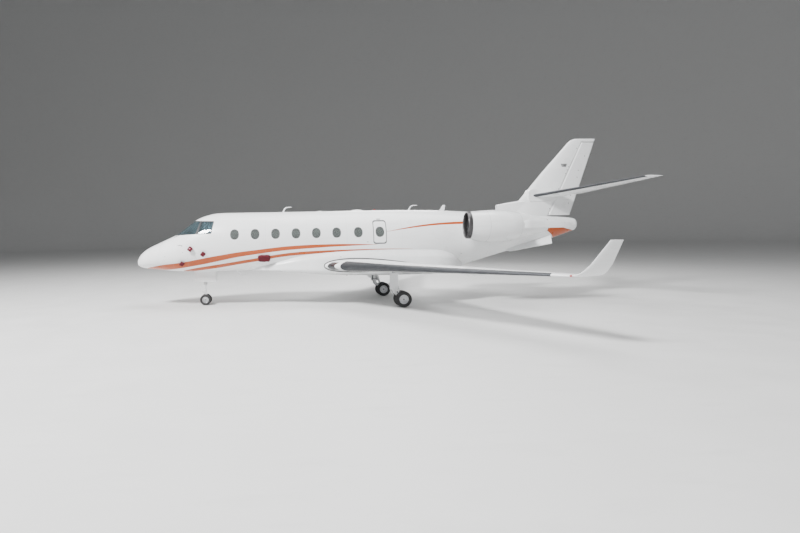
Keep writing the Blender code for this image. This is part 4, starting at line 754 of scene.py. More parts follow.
class Finisher:
    """Makes one material for each finish and puts it on pieces."""

    def __init__(self) -> None:
        self.effects = Effects()
        self.materials: dict[str, bpy.types.Material] = {}

    def material(self, finish: Finish) -> bpy.types.Material:
        """The material of a finish, built the first time it is asked for."""
        if finish.name in self.materials:
            return self.materials[finish.name]
        material = bpy.data.materials.new(finish.name)
        material.use_nodes = True
        graph = Graph(material.node_tree)
        place = graph.node("ShaderNodeTexCoord").outputs["Object"]
        surface = graph.use(self.effects.surface(finish.detail), place)
        tint = {"Color": (*finish.colour, 1.0), "Value": surface["Shade"]}
        colour = graph.node("ShaderNodeHueSaturation", tint).outputs["Color"]
        if finish.livery:
            stripes = graph.use(self.effects.mask("Livery", Effects.stripes), place)["Mask"]
            seams = graph.use(self.effects.mask("Hull seams", Effects.seams), place)["Mask"]
            colour = graph.blend(stripes, colour, ORANGE)
            colour = graph.blend(graph.math("MULTIPLY", seams, SEAM_STRENGTH), colour, SEAM_GREY)
        feeds = {
            "Metallic": finish.metallic, "Coat Weight": finish.coat, "Coat Roughness": COAT_ROUGHNESS,
            "Transmission Weight": finish.transmission, "Base Color": colour, "Normal": surface["Normal"],
            "Roughness": graph.math("MULTIPLY", surface["Gloss"], finish.roughness),
        }
        for label, value in feeds.items():
            graph.feed(material.node_tree.nodes["Principled BSDF"].inputs[label], value)
        self.materials[finish.name] = material
        return material

    def dress(self, piece: Piece, finish: Finish, body: str = AIRFRAME, stands_for: Sequence[str] = (),
              sharp: float = 35.0, inside: Finish | None = None) -> Piece:
        """Gives a piece its material and shading, and makes it ride on a body.

        Args:
            piece: The new piece.
            finish: Its outer finish.
            body: The CAD body that it moves with.
            stands_for: CAD nodes that it replaces.
            sharp: Edges sharper than this many degrees stay crisp.
            inside: Finish of the faces that look at the hull's centre line.

        Returns:
            The piece.
        """
        piece.data.materials.clear()
        piece.data.materials.append(self.material(finish))
        piece.data.shade_smooth()
        piece.data.set_sharp_from_angle(angle=math.radians(sharp))
        if inside is not None:
            self.line_inside(piece, inside)
        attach(piece, body)
        if stands_for:
            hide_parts(*stands_for)
        return piece

    def line_inside(self, piece: Piece, finish: Finish) -> None:
        """Gives the faces that look inwards another finish."""
        piece.data.materials.append(self.material(finish))
        for face in piece.data.polygons:
            station = face.center.x + MIDDLE
            middle = (mix(HULL, station, 2) + mix(HULL, station, 3)) / 2
            away = Vector((0, face.center.y, face.center.z - middle))
            if face.normal.dot(away) < -0.3 * away.length:
                face.material_index = 1

    def repaint(self, node: str, finish: Finish) -> None:
        """Puts a finish on a CAD node that stays in view."""
        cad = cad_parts[node]
        for slot in cad.material_slots:
            slot.material = self.material(finish)


@dataclass
class HullForm:
    """The fuselage's outer surface."""

    points: int = 88

    @staticmethod
    def section(station: float, inset: float = 0.0) -> tuple[float, float, float]:
        """Half width, middle height and half height of the cross-section at a station."""
        half, top, bottom = (smooth(HULL, station, column) for column in (1, 2, 3))
        half, top, bottom = half - inset, top - inset, bottom + inset
        return half, (top + bottom) / 2, (top - bottom) / 2

    def ring(self, station: float, inset: float = 0.0) -> Ring:
        """Cross-section at a station, moved inwards by an inset."""
        half, middle, tall = self.section(station, inset)
        return [at(station, half * c, middle + tall * s) for c, s in turns(self.points, 0.5)]

    def side(self, station: float, height: float) -> float:
        """Distance out of the skin at a station and height."""
        half, middle, tall = self.section(station)
        share = (height - middle) / tall
        return half * math.sqrt(max(0.0, 1 - share * share))

    def on_skin(self, side: Side, station: float, height: float, proud: float = 0.0) -> Vector:
        """A point on the skin, moved out along the section's normal."""
        half, middle, tall = self.section(station)
        out = self.side(station, height)
        normal = Vector((0, out / half**2, (height - middle) / tall**2)).normalized()
        return at(station, side.value * (out + normal.y * proud), height + normal.z * proud)

    def outward(self, side: Side, station: float, height: float) -> Vector:
        """The direction straight out of the skin."""
        return (self.on_skin(side, station, height, 1.0) - self.on_skin(side, station, height)).normalized()

    @staticmethod
    def stations(first: float, last: float, step: float) -> list[float]:
        """Even stations between two, about a step apart."""
        return even(first, last, max(2, round((last - first) / step) + 1))

    def shell(self, name: str, first: float, last: float, outer: float = 0.0, inner: float = WALL,
              step: float = 0.10) -> Piece:
        """A length of the hull's wall with softened ends, open at both ends."""
        edge = 0.0025
        stations = self.stations(first + edge, last - edge, step)
        rings = [self.ring(first, outer + edge)]
        rings += [self.ring(x, outer) for x in stations]
        rings += [self.ring(last, outer + edge)]
        rings += [self.ring(x, inner) for x in (last, *reversed(stations), first)]
        return Shapes.loft(name, rings, closed=True)

    def solid(self, name: str, stations: Sequence[float], inset: float = 0.0) -> Piece:
        """A full length of the hull."""
        return Shapes.loft(name, [self.ring(x, inset) for x in stations])

    def patch(self, name: str, side: Side, outline: Outline, outer: float, inner: float,
              hole: float = 0.0) -> Piece:
        """A plate that follows the skin inside a side outline.

        Args:
            name: The object's name.
            side: Which side of the hull.
            outline: (station, height) points round it.
            outer: How far its face lies outside the skin, negative for inside.
            inner: The same for its back.
            hole: Width of the rim that is left round a hole, or 0 for a full plate.

        Returns:
            The linked object.
        """
        outline = spread(outline)
        u0 = (min(p[0] for p in outline) + max(p[0] for p in outline)) / 2
        v0 = (min(p[1] for p in outline) + max(p[1] for p in outline)) / 2
        reach = min(math.hypot(u - u0, v - v0) for u, v in outline)
        low = 1 - hole / reach if hole else 0.02
        shares = [1 - (1 - low) * k / 5 for k in range(6)]
        rings = []
        for proud, order in ((outer, shares[::-1]), (inner, shares)):
            for share in order:
                ring = [(u0 + (u - u0) * share, v0 + (v - v0) * share) for u, v in outline]
                rings.append([self.on_skin(side, u, v, proud) for u, v in ring])
        return Shapes.loft(name, rings, closed=bool(hole))


HULL_FORM = HullForm()


@dataclass
class Assembly:
    """A group of pieces that share one finisher."""

    finisher: Finisher

    @property
    def dress(self) -> Callable[..., Piece]:
        """The call that dresses a piece."""
        return self.finisher.dress


@dataclass
class Fuselage(Assembly):
    """Skins, doors, glazing and belly fairing."""

    corner: float = 0.05
    seal_width: float = 0.026
    window_wide: float = 0.34
    window_tall: float = 0.40
    blind_rows: int = 26
    root_seal: float = 0.034
    cone_end: float = 18.05
    foil_low: tuple[float, float] = (2.62, 2.91)
    foil_high: tuple[float, float] = (3.24, 3.41)
    foil_rows: int = 22
    foil_columns: int = 60
    foil_back: float = 0.065

    def window(self, station: float, grow: float = 0.0) -> list:
        """Outline of a cabin window."""
        return oval(station, WINDOW_HEIGHT, self.window_wide + 2 * grow, self.window_tall + 2 * grow)

    def door(self, sizes: tuple, grow: float = 0.0) -> list:
        """Outline of a door opening."""
        first, last, bottom, top, radius = sizes
        return rounded(first - grow, last + grow, bottom - grow, top + grow, radius + grow)

    def build(self) -> None:
        """Builds and dresses the whole fuselage."""
        self.build_skins()
        self.build_screens()
        self.build_windows()
        self.build_doors()
        self.build_belly()
        self.build_rear()

    def build_section(self, name: str, first: float, last: float, node: str,
                      *cuts: Sequence[Piece], step: float = 0.10) -> None:
        """One length of the hull's wall with its openings.

        Args:
            name: The piece's name.
            first: Station of the joint ahead of it.
            last: Station of the joint behind it.
            node: The CAD node that it replaces.
            cuts: Groups of cutters; those in one group don't touch.
            step: Distance between its rings.
        """
        skin = HULL_FORM.shell(name, first + JOINT_GAP, last - JOINT_GAP, step=step)
        for tools in cuts:
            Shapes.cut(skin, *tools)
        self.dress(skin, Palette.WHITE, AIRFRAME, [node], inside=Palette.LINING)

    def build_skins(self) -> None:
        """The sections between the frame joints."""
        prism, left, right = Shapes.side_prism, Side.LEFT, Side.RIGHT
        nose = [(NOSE_JOINT - 0.002) * (k / 40) ** 2.2 for k in range(41)]
        radome = HULL_FORM.solid("radome_skin", [*nose, NOSE_JOINT - JOINT_GAP])
        self.dress(radome, Palette.COMPOSITE, AIRFRAME, ["radome"])
        first, last, half = NOSE_BAY
        panes = [prism(softened(SIDE_WINDOW_OUTLINE, self.corner), side, 0.45) for side in Side]
        screens = [prism(softened(SCREEN_OUTLINE, self.corner), side, 0.035) for side in Side]
        bay = Shapes.block("bay", at(first, -half, 1.2), at(last, half, 1.62))
        self.build_section("cockpit_skin", NOSE_JOINT, DOOR_JOINT, "cockpit_shell", [*panes, bay], screens, step=0.07)
        openings = [prism(self.door(ENTRY_DOOR), right), prism(self.window(WINDOW_STATIONS[0]), left)]
        self.build_section("entry_skin", DOOR_JOINT, CABIN_JOINT, "entry_section", openings)
        openings = [prism(self.window(x), left) for x in WINDOW_STATIONS[1:7]]
        openings += [prism(self.window(x), right) for x in WINDOW_STATIONS[1:]]
        openings.append(prism(self.door(EXIT_HATCH), left, PAST_MIDDLE))
        self.build_section("cabin_skin", CABIN_JOINT, AFT_JOINT, "cabin_shell", openings, step=0.22)

    def build_screens(self) -> None:
        """Windscreens and side panes with their black seals, and the posts between them."""
        for side in Side:
            word = side.word
            outline = softened(SCREEN_OUTLINE, self.corner)
            pane = HULL_FORM.shell(f"windscreen_pane_{word}", 1.3, 2.95, 0.004, 0.024, step=0.05)
            Shapes.keep(pane, Shapes.side_prism(grown(outline, -0.012), side, 0.050))
            self.dress(pane, Palette.PANE, AIRFRAME, [f"windscreen_{word}"])
            seal = HULL_FORM.shell(f"windscreen_seal_{word}", 1.3, 2.95, -0.0015, 0.030, step=0.05)
            Shapes.keep(seal, Shapes.side_prism(grown(outline, -0.0005), side, 0.0355))
            Shapes.cut(seal, Shapes.side_prism(grown(outline, -self.seal_width), side, 0.052))
            self.dress(seal, Palette.SEAL)
            outline = softened(SIDE_WINDOW_OUTLINE, self.corner)
            pane = HULL_FORM.patch(f"cockpit_side_pane_{word}", side, grown(outline, -0.012), -0.004, -0.024)
            self.dress(pane, Palette.PANE, AIRFRAME, [f"side_window_{word}"])
            rim = grown(outline, -0.0005)
            seal = HULL_FORM.patch(f"cockpit_side_seal_{word}", side, rim, 0.0015, -0.03, self.seal_width)
            self.dress(seal, Palette.SEAL)
            self.dress(HULL_FORM.patch(f"cockpit_post_{word}", side, POST_OUTLINE, 0.006, -0.003), Palette.POST)
            self.build_wiper(side)
        self.build_sunshade()

    def build_wiper(self, side: Side) -> None:
        """A wiper arm and blade parked at the windscreen's foot."""
        foot = HULL_FORM.on_skin(side, 1.60, 2.79, 0.012)
        tip = HULL_FORM.on_skin(side, 2.30, 2.965, 0.016)
        arm = Shapes.tube(f"wiper_arm_{side.word}", [foot, foot.lerp(tip, 0.5) + Vector((0, 0, 0.012)), tip], 0.006)
        blade = [HULL_FORM.on_skin(side, 1.80 + 0.1 * k, 2.955 + 0.004 * k, 0.010) for k in range(7)]
        rubber = Shapes.tube(f"wiper_blade_{side.word}", blade, 0.005)
        self.dress(Shapes.merge(f"wiper_{side.word}", [arm, rubber]), Palette.SEAL)

    def build_sunshade(self) -> None:
        """A crumpled foil sunshade behind the left cockpit side pane."""
        (rear, low), (front, high) = self.foil_low, self.foil_high
        rings = []
        for v in even(low, high, self.foil_rows):
            lean = 0.26 * max(0.0, v - 2.92)
            rings.append([])
            for u in even(rear, front, self.foil_columns):
                fold = 0.014 * math.sin(48 * u + 5 * v) + 0.004 * math.sin(57 * v - 23 * u) + 0.003 * math.sin(90 * u)
                shifted = u + lean * (1 - (u - rear) / (front - rear))
                rings[-1].append(HULL_FORM.on_skin(Side.LEFT, shifted, v, -self.foil_back + fold))
        foil = Shapes.loft("foil_sunshade", rings, caps=False, open_rings=True)
        self.dress(foil, Palette.FOIL, sharp=180)

    def build_windows(self) -> None:
        """Cabin panes, their seals and trim rings, and the pleated blinds behind them."""
        kinds = (
            ("cabin_panes", Palette.CABIN_PANE, "cabin_glazing", -0.009, (-0.005, -0.017)),
            ("window_seals", Palette.SEAL, "", -0.0005, (-0.002, -0.020, 0.011)),
            ("window_trims", Palette.LINING, "", 0.045, (-WALL - 0.001, -WALL - 0.016, 0.052)),
        )
        for side, stations in ((Side.LEFT, WINDOW_STATIONS), (Side.RIGHT, WINDOW_STATIONS[1:])):
            for label, finish, node, grow, depths in kinds:
                plates = [HULL_FORM.patch("plate", side, self.window(x, grow), *depths) for x in stations]
                nodes = [f"{node}_{side.word}"] if node else []
                self.dress(Shapes.merge(f"{label}_{side.word}", plates), finish, AIRFRAME, nodes)
            blinds = [self.blind(side, x) for x in stations]
            self.dress(Shapes.merge(f"window_blinds_{side.word}", blinds), Palette.SHADE, sharp=20)

    def blind(self, side: Side, station: float) -> Piece:
        """A pleated blind drawn over the whole of a window."""
        half = self.window_wide / 2 + 0.012
        low = WINDOW_HEIGHT - self.window_tall / 2 - 0.01
        last = self.blind_rows - 1
        pleats = [(low + (self.window_tall + 0.02) * k / last, 0.009 if k % 2 else 0.0) for k in range(last + 1)]
        rings = []
        for u in (station - half, station + half):
            outside, inside = ([HULL_FORM.on_skin(side, u, v, face - pleat) for v, pleat in pleats]
                               for face in (-WALL * 0.55, -WALL * 0.55 - 0.002))
            rings.append(outside + inside[::-1])
        return Shapes.loft("blind", rings)

    def build_leaf(self, name: str, body: str, span: tuple[float, float], outline: Outline, side: Side,
                   inner: float = 0.3, window: Outline = ()) -> None:
        """A door's own part of the hull's wall.

        Args:
            name: The CAD node that it replaces, which also names it.
            body: The body that it rides on.
            span: Stations between which the wall is built.
            outline: The door's outline.
            side: The door's side of the hull.
            inner: Distance out at which the cutters begin.
            window: Outline of the opening in it, if it has one.
        """
        skin = Shapes.keep(HULL_FORM.shell(f"{name}_skin", *span), Shapes.side_prism(outline, side, inner))
        if window:
            Shapes.cut(skin, Shapes.side_prism(window, side, inner))
        self.dress(skin, Palette.WHITE, body, [name], inside=Palette.LINING)

    def build_doors(self) -> None:
        """Entry door, exit hatch and baggage door with their seams."""
        left, right = Side.LEFT, Side.RIGHT
        self.build_leaf("entry_door", "entry_door", (3.31, 4.44), self.door(ENTRY_DOOR, -0.007), right)
        self.build_stair()
        self.build_leaf("exit_hatch", AIRFRAME, (9.2, 10.2), self.door(EXIT_HATCH, -0.004), left, PAST_MIDDLE,
                        self.window(WINDOW_STATIONS[7]))
        line = HULL_FORM.patch("exit_hatch_line", left, self.door(EXIT_HATCH, 0.013), 0.0012, -0.02, 0.030)
        self.dress(line, Palette.LINE)
        plate = rounded(9.60, 9.76, 3.345, 3.375, 0.012, 4)
        self.dress(HULL_FORM.patch("exit_hatch_handle", left, plate, 0.004, -0.01), Palette.LINE)
        for name, sizes in (("entry_door", ENTRY_DOOR), ("baggage_door", BAGGAGE_DOOR)):
            seal = HULL_FORM.patch(f"{name}_seal", right, self.door(sizes, -0.001), -0.030, -0.045, 0.020)
            self.dress(seal, Palette.SEAL, name)
        self.build_leaf("baggage_door", "baggage_door", (11.5, 12.7), self.door(BAGGAGE_DOOR, -0.006), right,
                        PAST_MIDDLE)
        for x, z, name in ((3.82, 3.10, "entry_door"), (12.30, 2.58, "baggage_door")):
            plate = rounded(x - 0.11, x + 0.11, z - 0.035, z + 0.035, 0.03, 6)
            self.dress(HULL_FORM.patch(f"{name}_handle", right, plate, 0.003, -0.02), Palette.ALLOY, name)

    def build_stair(self) -> None:
        """Treads and handrails on the inside of the entry door."""
        first, last, bottom, top, _ = ENTRY_DOOR
        treads = []
        for k in range(4):
            height = bottom + 0.285 + k * (top - bottom - 0.425) / 3
            skin = HULL_FORM.side(3.9, height) - WALL
            low, high = at(first + 0.10, skin - 0.20, height - 0.016), at(last - 0.10, skin + 0.05, height + 0.016)
            tread = Shapes.block("tread", low, high, 0.006)
            middle = at((first + last) / 2, skin, height)
            turn = Matrix.Translation(middle) @ Matrix.Rotation(math.radians(38), 4, "X") @ Matrix.Translation(-middle)
            tread.data.transform(turn)
            treads.append(tread)
        self.dress(Shapes.merge("stair_treads", treads), Palette.CARPET, "entry_door")
        for x in (first + 0.07, last - 0.07):
            points = [at(x, HULL_FORM.side(3.9, z) - WALL - proud, z) for z, proud in
                      ((bottom + 0.20, 0.01), (bottom + 0.32, 0.13), (top - 0.55, 0.13), (top - 0.42, 0.01))]
            rail = Shapes.tube("stair_rail_front" if x < 3.8 else "stair_rail_rear", points, 0.010)
            self.dress(rail, Palette.CHROME, "entry_door")

    def build_belly(self) -> None:
        """The belly fairing and the black seal round each wing root."""
        stations = HULL_FORM.stations(BELLY[0][0], BELLY[-1][0], 0.12)
        fairing = Shapes.loft("belly_skin", [self.belly_ring(x) for x in stations])
        tool = HULL_FORM.solid("hull", HULL_FORM.stations(3.8, 13.7, 0.12), -0.0005)
        Shapes.cut(fairing, tool)
        self.dress(fairing, Palette.PLAIN, AIRFRAME, ["belly_fairing"])
        for side in Side:
            order = [self.root_ring(side, wide, WING[0][0] + shift) for wide, shift in
                     ((0.0, -0.02), (0.0, 0.007), (self.root_seal, 0.007), (self.root_seal, -0.02))]
            self.dress(Shapes.loft(f"wing_root_seal_{side.word}", order, closed=True), Palette.SEAL)

    @staticmethod
    def root_ring(side: Side, wide: float, out: float) -> Ring:
        """The wing root's section grown outwards by a width."""
        points = WingForm().ring(side, WING[0][0], 30)
        count = len(points)
        ring = []
        for k, p in enumerate(points):
            step = points[(k + 1) % count] - points[k - 1]
            away = Vector((-step.z, 0, step.x)).normalized() * wide
            ring.append(Vector((p.x + away.x, side.value * out, p.z + away.z)))
        return ring

    @staticmethod
    def belly_ring(station: float) -> Ring:
        """Section of the fairing, wider than the hull and flat under it."""
        half, bottom, seam = (smooth(BELLY, station, column) for column in (1, 2, 3))
        side = HULL_FORM.side(station, seam) - 0.03
        tall = seam - bottom
        corners = (
            (0.0, 0.0), (0.30, 0.003), (0.55, 0.018), (0.72, 0.045), (0.84, 0.085), (0.92, 0.125), (0.97, 0.175),
            (0.992, 0.225), (1.0, 0.28), (1.0, 0.40), (1.0, 0.52), (1.0, 0.64), (0.995, 0.72), (0.98, 0.79),
        )
        outline = [(half * u, bottom + tall * v) for u, v in corners]
        outline.append((max(side, 0.2) * 0.5 + half * 0.97 * 0.5, bottom + tall * 0.89))
        outline.append((max(side, 0.2), seam))
        ring = [at(station, y, z) for y, z in outline]
        return ring + [at(station, -y, z) for y, z in reversed(outline[1:])]

    def build_rear(self) -> None:
        """Aft hull with its pylons and strakes, and the tail cone."""
        aft = HULL_FORM.shell("aft_skin", AFT_JOINT + JOINT_GAP, CONE_JOINT - JOINT_GAP, 0.0, 0.07, step=0.16)
        Shapes.cut(aft, Shapes.side_prism(self.door(BAGGAGE_DOOR), Side.RIGHT, PAST_MIDDLE))
        self.dress(aft, Palette.WHITE, AIRFRAME, ["aft_fuselage"], inside=Palette.LINING)
        for side in Side:
            self.dress(self.pylon(side), Palette.PLAIN)
            self.dress(self.strake(side), Palette.PLAIN)
        stations = HULL_FORM.stations(CONE_JOINT + JOINT_GAP, self.cone_end, 0.08)
        ends = [self.cone_end + 0.08 * math.sin(math.pi / 2 * k / 5) for k in range(1, 6)]
        cone = HULL_FORM.solid("tail_cone_skin", [*stations, *ends])
        self.dress(cone, Palette.COMPOSITE, AIRFRAME, ["tail_cone"])

    @staticmethod
    def pylon(side: Side) -> Piece:
        """Streamlined beam between the hull and a nacelle."""
        rings = []
        for share in even(0.0, 1.0, 9):
            flare = 0.05 * (1 - share) ** 3 + 0.04 * share**4
            out = 0.86 + (ENGINE_OUT - 0.52 - 0.86) * share
            front, rear = 13.45 - 0.1 * share - flare, 15.50 - 0.30 * share + flare
            rings.append([])
            for c, s in turns(48):
                along = (1 + c) / 2
                full = 0.13 * (0.55 + 0.45 * math.sin(math.pi * min(1, along + 0.25))) + flare
                rings[-1].append(at(rear + (front - rear) * along, side.value * out, ENGINE_HEIGHT - 0.02 + full * s))
        return Shapes.loft(f"pylon_skin_{side.word}", rings)

    @staticmethod
    def strake(side: Side) -> Piece:
        """Canted fin plate under the tail with rounded edges."""
        corners = [at(x, side.value * out, z) for x, out, z in
                   ((14.85, 0.44, 2.09), (16.90, 0.34, 2.62), (16.74, 0.72, 2.270), (15.10, 0.56, 1.975))]
        across = (corners[1] - corners[0]).cross(corners[3] - corners[0]).normalized() * 0.015
        plate = Shapes.loft(f"strake_skin_{side.word}", [[c - across for c in corners], [c + across for c in corners]])
        return Shapes.bevelled(plate, 0.010, 3)


@dataclass
class WingForm:
    """A lifting surface given by rows of distance out, edges, heights and thickness ratio."""

    table: Table = WING
    camber: float = 0.012

    @staticmethod
    def half(share: float, ratio: float) -> float:
        """Half thickness at a share of the chord, over the chord."""
        c = max(0.0, min(1.0, share))
        curve = 0.2969 * math.sqrt(c) - 0.126 * c - 0.3516 * c**2 + 0.2843 * c**3 - 0.1036 * c**4
        return 5 * ratio * curve + 0.0022 * c

    def point(self, side: Side, out: float, share: float, upper: int) -> Vector:
        """A point on the upper (1) or lower (-1) skin."""
        front, rear, z_front, z_rear, ratio = (mix(self.table, out, column) for column in range(1, 6))
        chord = rear - front
        height = (upper * self.half(share, ratio) + self.camber * 4 * share * (1 - share)) * chord
        return at(front + share * chord, side.value * out, z_front + (z_rear - z_front) * share + height)

    def ring(self, side: Side, out: float, count: int = 34) -> Ring:
        """The whole section at a distance out."""
        shares = [(k / (count - 1)) ** 2.0 for k in range(count)]
        upper = [self.point(side, out, s, 1) for s in shares]
        lower = [self.point(side, out, s, -1) for s in shares]
        return upper + lower[:0:-1]

    def share(self, out: float, station: float) -> float:
        """Share of the chord at a station."""
        front, rear = mix(self.table, out, 1), mix(self.table, out, 2)
        return (station - front) / (rear - front)

    def whole(self, name: str, side: Side) -> Piece:
        """The full surface as one loft."""
        return Shapes.loft(name, [self.ring(side, row[0]) for row in self.table])

    def control(self, name: str, side: Side, outs: Sequence[float], line: Table, back: float) -> Piece:
        """A hinged surface with a round nose behind a hinge line."""
        rings = []
        for out in outs:
            front = self.share(out, along(line, out) + back)
            top, low = (self.point(side, out, front, upper) for upper in (1, -1))
            middle, radius = (top + low) / 2, (top - low).length / 2
            shares = even(front, 1.0, 12)
            ring = [middle + Vector((-0.55 * radius * s, 0, -radius * c)) for c, s in turns(16)[1:8]]
            ring += [self.point(side, out, s, 1) for s in shares]
            ring += [self.point(side, out, s, -1) for s in reversed(shares)]
            rings.append(ring)
        return Shapes.loft(name, rings)


def along(line: Table, out: float) -> float:
    """Station of a straight plan line at a distance out."""
    (a_out, a_x), (b_out, b_x) = line
    return a_x + (b_x - a_x) * (out - a_out) / (b_out - a_out)


def bay_corners(line: Table, inner: float, outer: float, back: float = 0.9) -> list[tuple[float, float]]:
    """Plan corners of the bay behind a hinge line."""
    corners = [(along(line, out) - 0.004, out) for out in (inner, outer)]
    return corners + [(along(line, outer) + back, outer), (along(line, inner) + 2 * back, inner)]


@dataclass
class Wing(Assembly):
    """One wing with its moving surfaces, tip and fittings."""

    side: Side
    form: WingForm = field(default_factory=WingForm)

    def build(self) -> None:
        """Builds and dresses the wing."""
        word, side, form = self.side.word, self.side, self.form
        wing = form.whole(f"wing_skin_{word}", side)
        Shapes.cut(wing, self.front_bay(0.0))
        for line, inner, outer in ((FLAP_FRONT, WING[0][0] - 0.05, FLAP_SPAN[1]), (AILERON_FRONT, *AILERON_SPAN)):
            Shapes.cut(wing, Shapes.plan_prism(bay_corners(line, inner, outer), side))
        Shapes.cut(wing, self.spoiler("bay", 0.0, 0.05, 0.05, SPOILER_THICK + 0.010))
        bottom = form.point(side, MAIN_OUT, form.share(MAIN_OUT, MAIN_LEG), -1).z
        low, high = sorted((side.value * 1.40, side.value * 1.95))
        Shapes.cut(wing, Shapes.block("leg bay", at(9.90, low, bottom - 0.3), at(10.24, high, bottom + 0.16)))
        self.dress(wing, Palette.WING_WHITE, AIRFRAME, [f"wing_{word}"])
        slat = Shapes.keep(form.whole(f"slat_skin_{word}", side), self.front_bay(0.004))
        outs = (FLAP_SPAN[0] + 0.010, WING[1][0], FLAP_SPAN[1] - 0.010)
        flap = form.control(f"flap_skin_{word}", side, outs, FLAP_FRONT, 0.075)
        outs = (AILERON_SPAN[0] + 0.012, AILERON_SPAN[1] - 0.012)
        aileron = form.control(f"aileron_skin_{word}", side, outs, AILERON_FRONT, HINGE_BACK)
        spoiler = self.spoiler(f"spoiler_skin_{word}", 0.008, -0.012, 0.0, SPOILER_THICK, 0.012)
        for label, piece in (("slat", slat), ("flap", flap), ("aileron", aileron), ("spoiler", spoiler)):
            # Slats take the near-black bare-metal finish, which also paints the shade of the wing's leading edge and
            # underside.
            finish = Palette.BARE if label == "slat" else Palette.PLAIN
            self.dress(piece, finish, f"{label}_{word}", [f"{label}_{word}"])
        for number, (out, joint, fullness) in enumerate(TRACK_COVERS):
            self.build_cover(number, out, joint, fullness)
        self.build_winglet()
        self.build_lights()
        self.build_wicks()

    def front_bay(self, inset: float) -> Piece:
        """Plan of a slat, or of its bay, with ends square to its rear edge."""
        (out_in, x_in), (out_out, x_out) = SLAT_REAR
        line = Vector((x_out - x_in, out_out - out_in)).normalized()
        forward = Vector((-line.y, line.x))
        first = Vector((x_in, out_in)) + line * inset + forward * (inset - 0.004)
        last = Vector((x_out, out_out)) - line * inset + forward * (inset - 0.004)
        reach = forward * 1.2
        return Shapes.plan_prism([tuple(p) for p in (first, last, last + reach, first + reach)], self.side)

    def spoiler(self, name: str, ahead: float, behind: float, above: float, below: float,
                trim: float = 0.0) -> Piece:
        """A sheet that follows the upper skin just ahead of the flap."""
        rings = []
        for out in (SPOILER_SPAN[0] + trim, WING[1][0], SPOILER_SPAN[1] - trim):
            line = along(FLAP_FRONT, out)
            first, last = (self.form.share(out, line + d) for d in (ahead - SPOILER_CHORD, behind))
            top = [self.form.point(self.side, out, first + (last - first) * k / 8, 1) for k in range(9)]
            over, under = Vector((0, 0, above)), Vector((0, 0, -below))
            rings.append([p + over for p in top] + [p + under for p in reversed(top)])
        return Shapes.loft(name, rings)

    def build_cover(self, number: int, out: float, joint: float, fullness: float) -> None:
        """The fixed and moving halves of a flap track cover, which meet on an arc about the flap's hinge.

        Args:
            number: The cover's number, from the root.
            out: Distance out of its middle.
            joint: Radius of the arc.
            fullness: Its depth over that of the deepest cover.
        """
        line, rear = along(FLAP_FRONT, out), mix(WING, out, 2)
        behind, word = rear - line, self.side.word
        fixed = ((line - 0.62, 0.004, 0.02, 0.02), (line - 0.56, 0.022, 0.045, 0.02), (line - 0.45, 0.042, 0.08, 0.02),
                 (line - 0.32, 0.057, 0.115, 0.02), (line - 0.20, 0.066, 0.14, 0.02),
                 (line + 0.045, 0.071, 0.158, 0.02))
        moving = ((line + 0.052, 0.071, 0.158, 0.02), (line + 0.14, 0.070, 0.163, 0.02),
                  (line + 0.3 * behind + 0.12, 0.066, 0.155, 0.018), (line + 0.10 + 0.5 * behind, 0.058, 0.13, 0.015),
                  (line + 0.1 + 0.8 * behind, 0.040, 0.09, 0.0), (rear + 0.09, 0.018, 0.045, -0.010),
                  (rear + 0.13, 0.003, 0.01, -0.020))
        halves = (("front", fixed, -1, joint, AIRFRAME), ("rear", moving, 0, joint + COVER_GAP, f"flap_{word}"))
        for label, rows, meeting, radius, body in halves:
            rings = [self.cover_ring(out, fullness, *row) for row in rows]
            rings[meeting] = [self.on_joint(p, radius) for p in rings[meeting]]
            spine = [self.on_joint(Vector((p.x, self.side.value * out, p.z)), radius) for p in rings[meeting]]
            rings.insert(len(rings) if meeting else 0, spine)
            self.dress(Shapes.loft(f"track_cover_{label}_{word}_{number}", rings), Palette.PLAIN, body)

    def cover_ring(self, out: float, fullness: float, station: float, width: float, depth: float,
                   rise: float) -> Ring:
        """Section of a track cover that hangs below the wing."""
        top = self.form.point(self.side, out, min(0.97, self.form.share(out, station)), -1).z + rise
        middle, drop = self.side.value * out, depth * fullness / 2
        return [at(station, middle + width * c, top - drop * (1 - s)) for c, s in turns(28)]

    def hinge(self, out: float) -> Vector:
        """The flap's hinge axis at a distance out."""
        ends = []
        for end in FLAP_SPAN:
            share = self.form.share(end, along(FLAP_FRONT, end))
            middle = (self.form.point(self.side, end, share, 1) + self.form.point(self.side, end, share, -1)) / 2
            ends.append(middle + Vector((-FLAP_AHEAD, 0, -FLAP_DROP)))
        return ends[0].lerp(ends[1], (out - FLAP_SPAN[0]) / (FLAP_SPAN[1] - FLAP_SPAN[0]))

    def on_joint(self, point: Vector, radius: float) -> Vector:
        """A point moved along the aircraft onto a round joint about the flap's hinge axis."""
        axis = self.hinge(abs(point.y))
        slant = (self.hinge(FLAP_SPAN[1]) - self.hinge(FLAP_SPAN[0])).normalized()
        fall = point.z - axis.z
        aft = math.sqrt(max(radius**2 - fall**2, 0.02**2)) / math.sqrt(1 - slant.x**2)
        return Vector((axis.x + aft, point.y, point.z))

